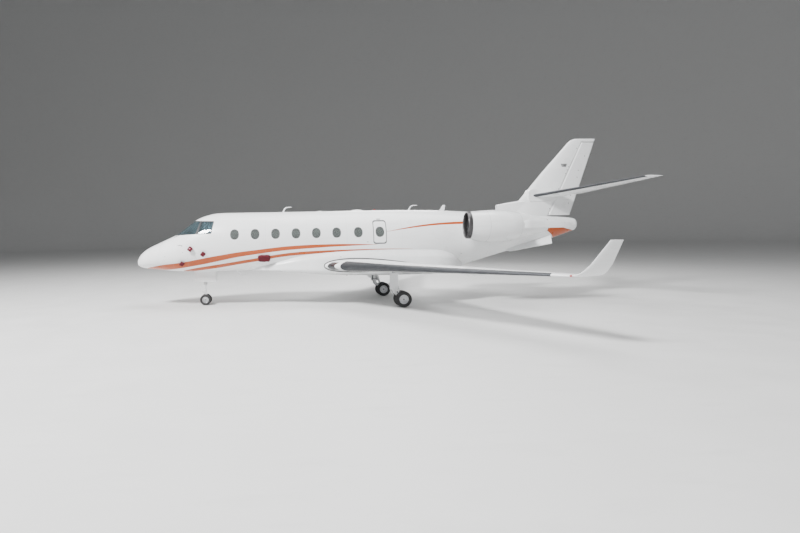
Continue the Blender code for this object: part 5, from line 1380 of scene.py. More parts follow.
    def build_winglet(self) -> None:
        """The blended winglet."""
        rings = []
        for k, (out, front, rear, height, thick) in enumerate(WINGLET):
            before, after = WINGLET[max(k - 1, 0)], WINGLET[min(k + 1, len(WINGLET) - 1)]
            lean = Vector((0, self.side.value * (after[0] - before[0]), after[3] - before[3])).normalized()
            across = Vector((0, -self.side.value * lean.z, abs(lean.y))) if k else Vector((0, 0, 1))
            ring = []
            for upper in (1, -1):
                shares = [(j / 21) ** 1.9 for j in range(22)]
                for s in shares if upper > 0 else shares[:0:-1]:
                    half = WingForm.half(s, 0.10) / WingForm.half(0.3, 0.10) * thick / 2
                    ring.append(at(front + s * (rear - front), self.side.value * out, height) + across * upper * half)
            rings.append(ring)
        winglet = Shapes.loft(f"winglet_skin_{self.side.word}", rings)
        self.dress(winglet, Palette.PLAIN, AIRFRAME, [f"winglet_{self.side.word}"])

    def build_lights(self) -> None:
        """Landing light in the root's leading edge and the position light at the tip."""
        side, word = self.side, self.side.word
        for name, outs, proud, reach, finish in (
            ("rim", (1.40, 1.47, 1.55, 1.63, 1.70), 0.0015, 0.052, Palette.SEAL),
            ("lens", (1.42, 1.48, 1.55, 1.62, 1.68), 0.0035, 0.040, Palette.SCREEN),
        ):
            rings = [self.edge_ring(out, proud, reach) for out in outs]
            self.dress(Shapes.loft(f"landing_light_{name}_{word}", rings), finish)
        tip = at(12.53, side.value * 8.36, 1.712)
        profile = ((-0.05, 0.0005), (-0.045, 0.014), (-0.02, 0.026), (0.05, 0.030), (0.06, 0.0005))
        lamp = Shapes.turned(f"position_light_{word}", profile, tip + Vector((0.06, 0, 0)), "X", 28)
        self.dress(lamp, Palette.RED_GLASS if side is Side.LEFT else Palette.GREEN_GLASS)

    def edge_ring(self, out: float, proud: float, reach: float) -> Ring:
        """A strip of the section wrapped round the leading edge.

        Args:
            out: Distance out.
            proud: Height of its face over the skin.
            reach: Share of the chord that it covers above and below.

        Returns:
            Points of the strip's closed section.
        """
        shares = [reach * (k / 8) ** 2 for k in range(9)]
        top = [self.form.point(self.side, out, s, 1) for s in reversed(shares)]
        line = top + [self.form.point(self.side, out, s, -1) for s in shares[1:]]
        faces = []
        for lift in (proud, -0.004):
            face = []
            for k, p in enumerate(line):
                step = line[min(k + 1, len(line) - 1)] - line[max(k - 1, 0)]
                face.append(p + Vector((step.z, 0, -step.x)).normalized() * lift)
            faces.append(face)
        return faces[0] + faces[1][::-1]

    def build_wicks(self) -> None:
        """Static wicks behind the aileron."""
        feet = [at(mix(WING, out, 2) - 0.01, self.side.value * out, mix(WING, out, 4)) for out in (5.8, 6.4, 7.0, 7.6)]
        word = self.side.word
        wicks = Shapes.wicks(f"aileron_wicks_{word}", feet, Vector((0.13, 0, -0.004)))
        self.dress(wicks, Palette.SEAL, f"aileron_{word}")


@dataclass
class Tail(Assembly):
    """Fin, rudder, tailplane and elevators."""

    back: float = 0.030
    ahead: float = 0.050

    @staticmethod
    def fin_half(share: float, half: float) -> float:
        """Half thickness of the fin at a share of its chord."""
        return half * WingForm.half(share, 0.1) / WingForm.half(0.3, 0.1) + 0.002

    def fin_ring(self, height: float, first: float, last: float, nose: float = 0.0) -> Ring:
        """Section of the fin between two stations at one height."""
        front, rear, half = (mix(FIN, height, column) for column in (1, 2, 3))
        chord = rear - front
        low, high = (first - front) / chord, (last - front) / chord
        shares = [low + (high - low) * (k / 23) ** (1.0 if nose else 1.9) for k in range(24)]
        ring = [at(front + s * chord, self.fin_half(s, half), height) for s in shares]
        ring += [at(front + s * chord, -self.fin_half(s, half), height) for s in reversed(shares)]
        if nose:
            wide = self.fin_half(shares[0], half)
            ring += [at(first - nose * wide * s, -wide * c, height) for c, s in turns(16)[1:8]]
        return ring

    def fin_side(self, side: Side, station: float, height: float) -> float:
        """Where the fin's skin lies on one side, along Y."""
        front, rear, half = (mix(FIN, height, column) for column in (1, 2, 3))
        return side.value * self.fin_half((station - front) / (rear - front), half)

    @staticmethod
    def rudder_line(height: float) -> float:
        """Station of the rudder's hinge line at a height."""
        (x0, z0), (x1, z1) = RUDDER_HINGE
        return x0 + (x1 - x0) * (height - z0) / (z1 - z0)

    def build(self) -> None:
        """Builds and dresses the tail."""
        heights = (3.20, 4.03, 5.2, 6.30, 6.40, 6.46, 6.50, 6.53)
        fin = Shapes.loft("fin_skin", [self.fin_ring(z, smooth(FIN, z, 1), smooth(FIN, z, 2)) for z in heights])
        rudder_top = RUDDER_HINGE[1][1]
        top = rudder_top + 0.035
        bay = [(self.rudder_line(z) - self.ahead, z) for z in (3.0, top)] + [(19.5, top), (19.5, 3.0)]
        first, last, low, high, half = SEAL_PLATE
        edge = rounded(first, last, low, high, 0.16)
        plate = Shapes.loft("seal_plate", [[at(x, y, z) for x, z in edge] for y in (-half, half)])
        for piece in (fin, plate):
            Shapes.cut(piece, Shapes.side_prism(bay, Side.RIGHT, -0.4, 0.4))
        Shapes.cut(fin, HULL_FORM.solid("hull", HULL_FORM.stations(13.7, 18.1, 0.12), -0.0005))
        self.dress(fin, Palette.PLAIN, AIRFRAME, ["fin"])
        self.dress(Shapes.bevelled(plate, 0.02, 4), Palette.PLAIN)
        dorsal = Shapes.loft("dorsal_skin", [[at(x, y, z) for y, z in rounded(-w, w, bottom, ridge, w * 0.8, 8)]
                                             for x, w, bottom, ridge in DORSAL])
        opening = rounded(-0.062, 0.062, 3.66, 3.862, 0.045, 6)
        Shapes.cut(dorsal, Shapes.loft("mouth", [[at(x, y, z) for y, z in opening] for x in (14.7, 15.05)]))
        self.dress(dorsal, Palette.PLAIN)
        rings = [self.fin_ring(z, self.rudder_line(z) + self.back, mix(FIN, z, 2), 0.6)
                 for z in (3.42, 4.03, 5.2, 6.30, rudder_top)]
        self.dress(Shapes.loft("rudder_skin", rings), Palette.PLAIN, "rudder", ["rudder"])
        self.build_tailplane()
        self.build_fittings()

    def build_tailplane(self) -> None:
        """The trimming tailplane and its elevators."""
        form = WingForm(TAILPLANE, 0.0)
        x, z = TAIL_PIVOT
        halves = [Shapes.rod("tube", at(x, -0.5, z), at(x, 0.5, z), 0.060, steps=32)]
        for side in Side:
            half = form.whole("half", side)
            Shapes.cut(half, Shapes.plan_prism(bay_corners(ELEVATOR_FRONT, 0.1, 3.26), side))
            halves.append(Shapes.cut(half, Shapes.plan_prism(((17.25, 0.10), (17.60, 0.10), (17.60, 0.26)), side)))
            elevator = form.control(f"elevator_skin_{side.word}", side, (0.470, 3.250), ELEVATOR_FRONT, HINGE_BACK)
            self.dress(elevator, Palette.PLAIN, f"elevator_{side.word}", [f"elevator_{side.word}"])
            # A dark bare-metal band round the tailplane's leading edge, wider than the real bare edge: the extra width
            # is painted shade of the tailplane's underside.
            edge = form.whole(f"tailplane_edge_{side.word}", side)
            line = [(mix(TAILPLANE, out, 1) + 0.13 * mix(TAILPLANE, out, 5) / 0.1, out) for out in (0.168, 3.344)]
            cutter = [(line[0][0], 0.17), (line[1][0], 3.343), (line[1][0] - 1.0, 3.343), (line[0][0] - 1.0, 0.17)]
            Shapes.keep(edge, Shapes.plan_prism(cutter, side))
            edge.data.transform(Matrix.Translation((-0.0012, 0, 0)))
            self.dress(edge, Palette.BARE, "tailplane")
        self.dress(Shapes.merge("tailplane_skin", halves), Palette.PLAIN, "tailplane", ["tailplane"])

    def build_fittings(self) -> None:
        """Louvred vents, access caps, tail light and wicks."""
        vents = []
        for side in Side:
            for k in range(5):
                x, z = 17.42 + 0.010 * k, 5.505 - 0.026 * k
                y = self.fin_side(side, x, z)
                low, high = sorted((y - side.value * 0.01, y + side.value * 0.002))
                end = at(x + 0.26 - 0.02 * k, high, z + 0.009)
                vents.append(Shapes.block("louvre", at(x, low, z - 0.009), end, 0.0015))
        self.dress(Shapes.merge("fin_vents", vents), Palette.SEAL)
        for body, places in (
            (AIRFRAME, ((17.76, 5.39), (17.70, 5.265), (17.64, 5.12), (17.35, 4.49), (16.98, 3.70), (18.10, 6.14))),
            ("rudder", ((18.45, 5.83), (18.19, 5.25), (18.15, 4.97), (17.89, 4.23), (17.81, 3.91))),
        ):
            caps = []
            for side in Side:
                reach = Vector((0, side.value * 0.0125, 0))
                for x, z in places:
                    start = at(x, self.fin_side(side, x, z) - side.value * 0.01, z)
                    caps.append(Shapes.rod("cap", start, start + reach, 0.021, steps=20))
            self.dress(Shapes.merge(f"{body}_access_caps", caps), Palette.LINE, body)
        light = ((0.0, 0.0005), (0.0, 0.045), (0.03, 0.040), (0.055, 0.022), (0.062, 0.0005))
        self.dress(Shapes.turned("tail_light", light, at(18.115, 0, 3.03), "X", 28), Palette.CLEAR_GLASS)
        feet = [at(mix(FIN, z, 2) - 0.01, 0, z) for z in (4.9, 5.4, 5.9)]
        self.dress(Shapes.wicks("rudder_wicks", feet, Vector((0.12, 0, 0.02))), Palette.SEAL, "rudder")


@dataclass
class Engine(Assembly):
    """One nacelle with its intake lip, fan and nozzle."""

    side: Side
    blades: int = 22
    blade_root: float = 0.115
    blade_tip: float = 0.399
    spinner_front: float = 13.06
    spinner_long: float = 0.26
    spinner_radius: float = 0.15
    lip_rear: float = 12.7985
    lip_long: float = 0.150
    lip_radius: float = 0.4665
    lip_half: float = 0.0385
    steps: int = 96
    cowl: Table = ((12.80, 0.505), (12.96, 0.532), (13.30, 0.577), (13.65, 0.594), (14.20, 0.572), (14.86, 0.455),
                   (15.30, 0.350), (15.73, 0.240))
    slant: Table = ((12.80, 0.150), (13.42, 0.0))
    rise: Table = ((12.80, 0.045), (13.10, 0.012), (13.30, 0.0), (15.73, 0.0))
    duct: Table = ((12.80, 0.428), (12.95, 0.412), (13.75, 0.412), (14.30, 0.375), (15.10, 0.305), (15.73, 0.222))

    @property
    def centre(self) -> Vector:
        """The engine's axis at station 0."""
        return at(0, self.side.value * ENGINE_OUT, ENGINE_HEIGHT)

    def build(self) -> None:
        """Builds and dresses the engine."""
        word = self.side.word
        xs = even(self.cowl[0][0], self.cowl[-1][0], 41)
        rings = [self.circle(x, smooth(self.cowl, x, 1)) for x in xs]
        rings += [self.circle(x, smooth(self.duct, x, 1)) for x in reversed(xs)]
        nacelle = Shapes.loft(f"nacelle_skin_{word}", rings, closed=True)
        self.dress(nacelle, Palette.PLAIN, AIRFRAME, [f"nacelle_{word}"])
        self.line_duct(nacelle)
        lip = []
        for k in range(25):
            angle = math.pi * (k / 24 - 0.5)
            station = self.lip_rear - self.lip_long * max(0.0, math.cos(angle)) ** 0.85
            lip.append(self.circle(station, self.lip_radius - self.lip_half * math.sin(angle)))
        self.dress(Shapes.loft(f"lip_skin_{word}", lip, closed=True), Palette.LIP, AIRFRAME, [f"inlet_lip_{word}"])
        self.build_fairing()
        self.build_seams()
        self.build_fan()
        self.finisher.repaint(f"engine_core_{word}", Palette.HOT)
        ring = ((15.66, 0.226), (15.74, 0.2235), (15.752, 0.228), (15.75, 0.238), (15.70, 0.244))
        self.dress(Shapes.turned(f"nozzle_ring_{word}", ring, self.centre, "X", self.steps), Palette.HOT)
        profile = [(15.05 + 0.46 * k / 16, 0.186 * math.cos(math.pi / 2 * k / 16) ** 0.9 + 0.001) for k in range(17)]
        profile.append((15.05, 0.001))
        self.dress(Shapes.turned(f"exhaust_cone_{word}", profile, self.centre, "X", 56), Palette.HOT)

    def circle(self, station: float, radius: float) -> Ring:
        """A ring about the engine's axis, which rises at the intake and lies further aft on its inner side."""
        middle = self.centre + Vector((station, 0, mix(self.rise, station, 1)))
        slant, side = mix(self.slant, station, 1), self.side.value
        return [middle + Vector((slant * (1 - side * c) / 2, radius * c, radius * s)) for c, s in turns(self.steps)]

    def line_duct(self, nacelle: Piece) -> None:
        """Darkens the faces that look at the engine's axis: a near-black lining that is painted shade inside the intake
        and the nozzle.
        """
        nacelle.data.materials.append(self.finisher.material(Palette.DUCT))
        axis = self.centre
        for face in nacelle.data.polygons:
            away = Vector((0, face.center.y - axis.y, face.center.z - axis.z))
            if face.normal.dot(away) < 0:
                face.material_index = 1

    def build_fairing(self) -> None:
        """The streamlined fairing along the outer side of the nacelle."""
        rows = ((14.70, -0.100, 0.150, -0.004), (14.76, -0.107, 0.172, 0.030), (14.93, -0.107, 0.188, 0.052),
                (15.20, -0.107, 0.182, 0.075), (15.60, -0.107, 0.165, 0.090), (16.00, -0.107, 0.145, 0.085),
                (16.38, -0.107, 0.122, 0.060), (16.48, -0.098, 0.100, 0.030))
        rings = []
        for x, low, high, proud in rows:
            skin = smooth(self.cowl, min(x, 15.3), 1)
            outline = rounded(skin - 0.055, skin + proud, low, high, 0.020, 5)
            rings.append([at(x, self.side.value * (ENGINE_OUT + y), ENGINE_HEIGHT + z) for y, z in outline])
        self.dress(Shapes.loft(f"nacelle_fairing_{self.side.word}", rings), Palette.COMPOSITE)

    def build_seams(self) -> None:
        """Thin cowl seams, latches and a drain mast."""
        pieces = []
        for x in (13.42, 14.62):
            r = smooth(self.cowl, x, 1)
            ring = ((x - 0.002, r - 0.004), (x - 0.002, r + 0.0006), (x + 0.002, r + 0.0006), (x + 0.002, r - 0.004))
            pieces.append(Shapes.turned("seam", ring, self.centre, "X", self.steps))
        for k in range(4):
            x = 13.56 + 0.27 * k
            r = smooth(self.cowl, x, 1)
            for y in (-0.06, 0.06):
                z = -math.sqrt(r * r - y * y)
                low = self.centre + Vector((x - 0.05, y - 0.012, z - 0.0015))
                pieces.append(Shapes.block("latch", low, low + Vector((0.10, 0.024, 0.010)), 0.0008))
        self.dress(Shapes.merge(f"cowl_seams_{self.side.word}", pieces), Palette.LINE)
        foot = self.centre + Vector((14.05, 0, -smooth(self.cowl, 14.05, 1) + 0.01))
        mast = Shapes.rod(f"drain_mast_{self.side.word}", foot, foot + Vector((0.035, 0, -0.075)), 0.012, 0.008)
        self.dress(mast, Palette.PLAIN)

    def nose(self, share: float) -> tuple[float, float]:
        """Station and radius of the spinner's nose at a share of its length."""
        along, up = self.spinner_long * share**1.6, self.spinner_radius * math.sin(math.pi / 2 * share**0.8)
        return self.spinner_front + along, up

    def build_fan(self) -> None:
        """Wide blades, and the spinner with the pale swirl that shows whether it turns."""
        word, body = self.side.word, f"fan_{self.side.word}"
        blades = [self.blade(k) for k in range(self.blades)]
        self.dress(Shapes.merge(f"fan_blades_{word}", blades), Palette.FAN, body, [body])
        profile = [(x, r + 0.0005) for x, r in (self.nose(k / 16) for k in range(17))]
        profile += [(13.34, 0.140), (13.34, 0.050), (13.50, 0.050), (13.50, 0.0005)]
        self.dress(Shapes.turned(f"spinner_{word}", profile, self.centre, "X", 64), Palette.STEEL, body)
        points = []
        for k in range(15):
            x, r = self.nose(0.25 + 0.6 * k / 14)
            angle = 2.4 * k / 14
            points.append(self.centre + Vector((x - 0.001, r * math.cos(angle), r * math.sin(angle))))
        self.dress(Shapes.tube(f"spinner_swirl_{word}", points, 0.0045), Palette.PLAIN, body)

    def blade(self, index: int) -> Piece:
        """A twisted, curved blade from the hub to the tip."""
        around = Matrix.Rotation(2 * math.pi * index / self.blades, 4, "X")
        middle = self.centre + Vector((FAN_STATION, 0, 0))
        rings = []
        for share in even(0.0, 1.0, 9):
            radius = self.blade_root + (self.blade_tip - self.blade_root) * share
            pitch = math.radians(28 + 36 * share)
            chord, thick = 0.105 + 0.030 * math.sin(math.pi * share), 0.014 - 0.010 * share
            lean = 0.02 * math.sin(math.pi * share)
            pitch_c, pitch_s = math.cos(pitch), math.sin(pitch)
            rings.append([])
            for c, s in turns(12):
                a, b = chord / 2 * c, thick / 2 * s + 0.012 * (1 - c**2)
                flat = Vector((a * pitch_c - b * pitch_s, a * pitch_s + b * pitch_c + lean, radius))
                rings[-1].append(middle + around @ flat)
        return Shapes.loft("blade", rings)


@dataclass
class Wheel(Assembly):
    """A tyre and hub pair for one wheel."""

    name: str
    centre: Vector
    radius: float
    width: float
    outward: int
    body: str
    tyre_node: str
    rim_share: float = 0.56

    def build(self) -> None:
        """Builds the tyre with its grooves, the rim and its bolts."""
        self.build_tyre()
        self.build_rim()

    def build_tyre(self) -> None:
        """A round-shouldered tyre with grooves round the tread."""
        half, rim, radius = self.width / 2, self.radius * self.rim_share, self.radius
        shoulder = []
        for k in range(1, 16):
            rise = (radius - rim) * 0.92 * math.sin(math.pi / 2 * k / 15) ** 1.1
            shoulder.append((half * (0.74 + 0.26 * math.sin(math.pi * k / 16)), rim + rise))
        profile = [(-half * 0.74, rim), *((-across, up) for across, up in shoulder)]
        for groove in (-0.42, -0.14, 0.14, 0.42):
            middle, edge = half * groove, half * 0.035
            profile += [(middle - edge * 1.3, radius), (middle - edge, radius - 0.007), (middle + edge, radius - 0.007),
                        (middle + edge * 1.3, radius)]
        profile += [*reversed(shoulder), (half * 0.74, rim)]
        tyre = Shapes.turned(f"tyre_{self.name}", profile, self.centre, "Y", 72)
        self.dress(tyre, Palette.TYRE, self.body, [self.tyre_node], sharp=28)

    def build_rim(self) -> None:
        """A dished alloy rim with bolts, a hub cap and a brake pack."""
        half, rim, sign = self.width / 2, self.radius * self.rim_share - 0.0006, self.outward
        shares = ((-0.78, 0.93), (-0.80, 1.02), (-0.72, 1.0), (0.72, 1.0), (0.80, 1.02), (0.78, 0.93), (0.60, 0.90),
                  (0.30, 0.80), (0.22, 0.52), (0.42, 0.40), (0.46, 0.20), (0.46, 0.0), (-0.30, 0.0), (-0.30, 0.86),
                  (-0.62, 0.88))
        placed = [(sign * (half * a), rim * r if r else 0.001) for a, r in shares]
        rim_piece = Shapes.turned(f"rim_{self.name}", placed, self.centre, "Y", 64)
        self.dress(rim_piece, Palette.ALLOY, self.body, sharp=25)
        bolts = []
        for c, s in turns(10):
            place = self.centre + Vector((rim * 0.66 * c, sign * half * 0.24, rim * 0.66 * s))
            bolts.append(Shapes.rod("bolt", place, place + Vector((0, sign * half * 0.14, 0)), rim * 0.045, steps=6))
        inner, outer = (self.centre + Vector((0, sign * half * share, 0)) for share in (0.40, 0.62))
        cap = Shapes.rod("cap", inner, outer, rim * 0.18, rim * 0.15, 28)
        pack = ((-sign * half * a, rim * r) for a, r in ((0.32, 0.35), (0.32, 0.82), (0.66, 0.80), (0.66, 0.35)))
        brake = Shapes.turned("brake", tuple(pack), self.centre, "Y", 40)
        self.dress(Shapes.merge(f"wheel_bolts_{self.name}", [*bolts, cap, brake]), Palette.STEEL, self.body)


@dataclass
class LandingGear(Assembly):
    """Wheels, chrome struts, hoses and doors of the gear."""

    nose_radius: float = 0.225
    nose_width: float = 0.125
    nose_half_track: float = 0.130
    main_radius: float = 0.305
    main_width: float = 0.170
    main_half_track: float = 0.155

    def build(self) -> None:
        """Builds and dresses the gear."""
        x, z = NOSE_AXLE
        for side in Side:
            centre = at(x, side.value * self.nose_half_track, z)
            Wheel(self.finisher, f"nose_{side.word}", centre, self.nose_radius, self.nose_width, side.value,
                  "nose_wheels", f"nose_tyre_{side.word}").build()
        self.axle("nose_axle", at(x, 0, z), self.nose_half_track, 0.038, "nose_wheels", "nose_hubs")
        self.finisher.repaint("nose_leg", Palette.LEG)
        self.finisher.repaint("nose_fork", Palette.LEG)
        for side in Side:
            self.finisher.repaint(f"nose_gear_door_{side.word}", Palette.PLAIN)
            self.build_main(side)
        self.build_nose_details()

    def axle(self, name: str, centre: Vector, spread: float, radius: float, body: str, node: str) -> None:
        """The axle that carries a pair of wheels."""
        reach = Vector((0, spread, 0))
        rod = Shapes.rod(name, centre - reach, centre + reach, radius, steps=40)
        self.dress(rod, Palette.STEEL, body, [node])

    def build_main(self, side: Side) -> None:
        """One main leg's wheels, hoses and chrome."""
        x, z = MAIN_AXLE
        word, out = side.word, side.value * MAIN_OUT
        for label, place in (("inner", -1), ("outer", 1)):
            centre = at(x, out + side.value * place * self.main_half_track, z)
            Wheel(self.finisher, f"main_{word}_{label}", centre, self.main_radius, self.main_width, side.value * place,
                  f"main_wheels_{word}", f"main_tyre_{word}_{label}").build()
        self.axle(f"main_axle_{word}", at(x, out, z), self.main_half_track, 0.051, f"main_wheels_{word}",
                  f"main_hubs_{word}")
        self.finisher.repaint(f"main_leg_{word}", Palette.LEG)
        start, end = at(x - 0.06, out, z + 0.07), at(MAIN_LEG + 0.04, out, 1.12)
        sleeve = Shapes.rod(f"shock_sleeve_{word}", start.lerp(end, 0.45), start.lerp(end, 0.98), 0.052, steps=36)
        self.dress(sleeve, Palette.LEG)
        piston = Shapes.rod(f"shock_piston_{word}", start.lerp(end, 0.12), start.lerp(end, 0.45), 0.0415, steps=36)
        self.dress(piston, Palette.CHROME)
        for number, shift in enumerate((-0.075, 0.075)):
            points = [at(MAIN_LEG - 0.02, out + shift, 1.42), at(MAIN_LEG - 0.075, out + shift, 1.05),
                      at(MAIN_LEG - 0.085, out + shift * 0.8, 0.70), at(MAIN_LEG + 0.02, out + shift * 0.75, 0.50),
                      at(x - 0.10, out + shift * 0.7, z + 0.03)]
            hose = Shapes.tube(f"brake_hose_{word}_{number}", points, 0.008)
            self.dress(hose, Palette.HOSE)
        clamps = []
        for height in (0.78, 1.0, 1.22):
            ring = ((-0.012, 0.0685), (-0.012, 0.076), (0.012, 0.076), (0.012, 0.0685))
            clamps.append(Shapes.turned("clamp", ring, at(MAIN_LEG, out, height), "Z", 36))
        self.dress(Shapes.merge(f"leg_clamps_{word}", clamps), Palette.STEEL)

    def build_nose_details(self) -> None:
        """Chrome piston, taxi light and steering hose."""
        x, _ = NOSE_AXLE
        piston = Shapes.rod("nose_piston", at(x, 0, 0.60), at(x, 0, 0.842), 0.0415, steps=36)
        self.dress(piston, Palette.CHROME, "nose_fork")
        lamp_at = at(x - 0.085, 0, 1.12)
        shell = ((-0.050, 0.062), (-0.052, 0.068), (0.0, 0.064), (0.035, 0.030), (0.035, 0.001), (0.030, 0.001),
                 (0.0, 0.056))
        self.dress(Shapes.turned("taxi_light_shell", shell, lamp_at, "X", 40), Palette.LEG)
        lens = ((-0.048, 0.0005), (-0.046, 0.040), (-0.040, 0.061), (-0.034, 0.061), (-0.040, 0.0005))
        self.dress(Shapes.turned("taxi_light_lens", lens, lamp_at, "X", 40), Palette.CLEAR_GLASS)
        bends = [at(x + 0.02, 0.07, 1.45), at(x + 0.04, 0.085, 1.2), at(x + 0.02, 0.08, 0.96)]
        self.dress(Shapes.tube("nose_steering_hose", bends, 0.007), Palette.HOSE)


@dataclass
class Interior(Assembly):
    """Cabin floor, partitions, seats and flight deck."""

    floor: float = 1.70
    seat_out: float = 0.55
    seat_width: float = 0.48
    pilot_out: float = 0.43
    pilot_width: float = 0.42
    seat_long: float = 0.50
    screens_at: tuple[float, float] = (2.262, 2.52)
    seat_tilt: float = math.radians(8)

    def build(self) -> None:
        """Builds and dresses the cabin."""
        floor = HULL_FORM.solid("cabin_floor_skin", HULL_FORM.stations(1.71, 11.17, 0.3), WALL + 0.002)
        Shapes.keep(floor, Shapes.block("keeper", at(1.70, -1.3, self.floor - 0.05), at(11.3, 1.3, self.floor)))
        self.dress(floor, Palette.CARPET, AIRFRAME, ["cabin_floor"])
        for number, (station, half) in enumerate(((3.20, 0.30), (11.10, 0.0))):
            wall = HULL_FORM.solid(f"partition_{number}", [station, station + 0.06], WALL + 0.004)
            Shapes.keep(wall, Shapes.block("keeper", at(station - 0.1, -1.3, self.floor), at(station + 0.2, 1.3, 3.8)))
            if half:
                Shapes.cut(wall, Shapes.block("doorway", at(station - 0.1, -half, 1.6), at(station + 0.2, half, 3.50)))
            self.dress(wall, Palette.WOOD)
        number = 0
        for station, faces in ((4.75, 1), (6.05, -1), (6.75, 1), (8.05, -1), (8.75, 1)):
            for side in Side:
                self.seat(f"cabin_seat_{number}", station, side.value * self.seat_out, self.seat_width, faces)
                number += 1
        for side in Side:
            word = side.word
            self.seat(f"pilot_seat_skin_{word}", 2.52, side.value * self.pilot_out, self.pilot_width, -1,
                      [f"pilot_seat_{word}"], 0.02)
        self.finisher.repaint("flight_deck_panel", Palette.PANEL)
        self.build_deck()

    def seat(self, name: str, station: float, out: float, wide: float, faces: int, nodes: Sequence[str] = (),
             rise: float = 0.0) -> None:
        """A leather seat: pedestal, cushion, back, headrest and arms.

        Args:
            name: First part of its pieces' names.
            station: Its rear or front end, whichever is further forward.
            out: Its middle, along Y.
            wide: Its width.
            faces: 1 where the back is at the station, -1 where it is at the other end.
            nodes: CAD nodes that it replaces.
            rise: Its height over that of a cabin seat.
        """
        back = station if faces > 0 else station + self.seat_long
        half, tilt = wide / 2, -self.seat_tilt * faces
        softs = (
            ("cushion", at(station + 0.26, out, 2.05 + rise), (0.25, half - 0.035, 0.075), 0.0),
            ("back", at(back - 0.05 * faces, out, 2.40 + rise), (0.07, half - 0.035, 0.33), tilt),
            ("headrest", at(back - 0.085 * faces + 0.055 * faces, out, 2.665 + rise), (0.045, half * 0.62, 0.075),
             tilt),
        )
        for label, *sizes in softs:
            piece = self.dress(self.cushion(f"{name}_{label}", *sizes), Palette.LEATHER, sharp=60)
        blocks = []
        for sign in (-1, 1):
            y = out + sign * (half - 0.015)
            blocks.append(((0.06, y - 0.020, 2.20 + rise), (0.46, y + 0.020, 2.245 + rise), 0.012))
            blocks.append(((0.20, y - 0.013, 1.99 + rise), (0.30, y + 0.013, 2.21 + rise), 0.006))
        blocks.append(((0.02, out - half + 0.02, 1.955 + rise), (0.50, out + half - 0.02, 1.99 + rise), 0.010))
        blocks.append(((0.10, out - 0.09, self.floor + rise + 0.001), (0.40, out + 0.09, 1.96 + rise), 0.015))
        bars = [Shapes.block("bar", at(station + low[0], *low[1:]), at(station + high[0], *high[1:]), bevel)
                for low, high, bevel in blocks]
        self.dress(Shapes.merge(f"{name}_frame", bars), Palette.LINING, AIRFRAME, nodes)

    @staticmethod
    def cushion(name: str, centre: Vector, half: tuple[float, float, float], lean: float) -> Piece:
        """A crowned cushion with drawn-in corners and sewn channels."""
        turn = Matrix.Rotation(lean, 4, "Y")
        thin = min(range(3), key=lambda i: half[i])

        def put(p: Vector) -> Vector:
            """Crowns a point and draws it in along the sewn channels."""
            crown = 1 + 0.05 * (1 - p.y * p.y)
            channel = 0.018 * max(0.0, 1 - abs(math.sin(1.5 * math.pi * p.y)) * 6)
            q = Vector((p.x * half[0], p.y * half[1], p.z * half[2])) * (crown * 0.95)
            q[thin] -= math.copysign(channel * half[thin] * 8, q[thin]) if abs(p[thin]) > 0.8 else 0.0
            return centre + turn @ q

        return Shapes.pillow(name, 15, 6, put)

    def build_deck(self) -> None:
        """Displays and yokes."""
        reach = Vector((0.012, 0.115, 0.085))
        station, height = self.screens_at
        fronts = [at(station, y, height) for y in (-0.40, -0.135, 0.135, 0.40)]
        screens = [Shapes.block("screen", front - reach, front + reach, 0.004) for front in fronts]
        turned = Shapes.merge("flight_displays", screens)
        tilt = Matrix.Rotation(math.radians(10.3), 4, "Y")
        pivot = at(station, 0, height)
        turned.data.transform(Matrix.Translation(pivot) @ tilt @ Matrix.Translation(-pivot))
        self.dress(turned, Palette.SCREEN)
        for side in Side:
            centre = at(2.42, side.value * self.pilot_out, 2.36)
            column = Shapes.tube("column", [at(2.30, side.value * self.pilot_out, 2.32), centre], 0.014)
            angles = [math.radians(d) for d in range(-230, 51, 20)]
            points = [centre + Vector((0.0, 0.13 * math.cos(a), 0.13 * math.sin(a))) for a in angles]
            yoke = Shapes.tube("grip", points, 0.012)
            bar = Shapes.tube("bar", [centre - Vector((0, 0.12, 0)), centre + Vector((0, 0.12, 0))], 0.012)
            self.dress(Shapes.merge(f"yoke_{side.word}", [column, yoke, bar]), Palette.PANEL)


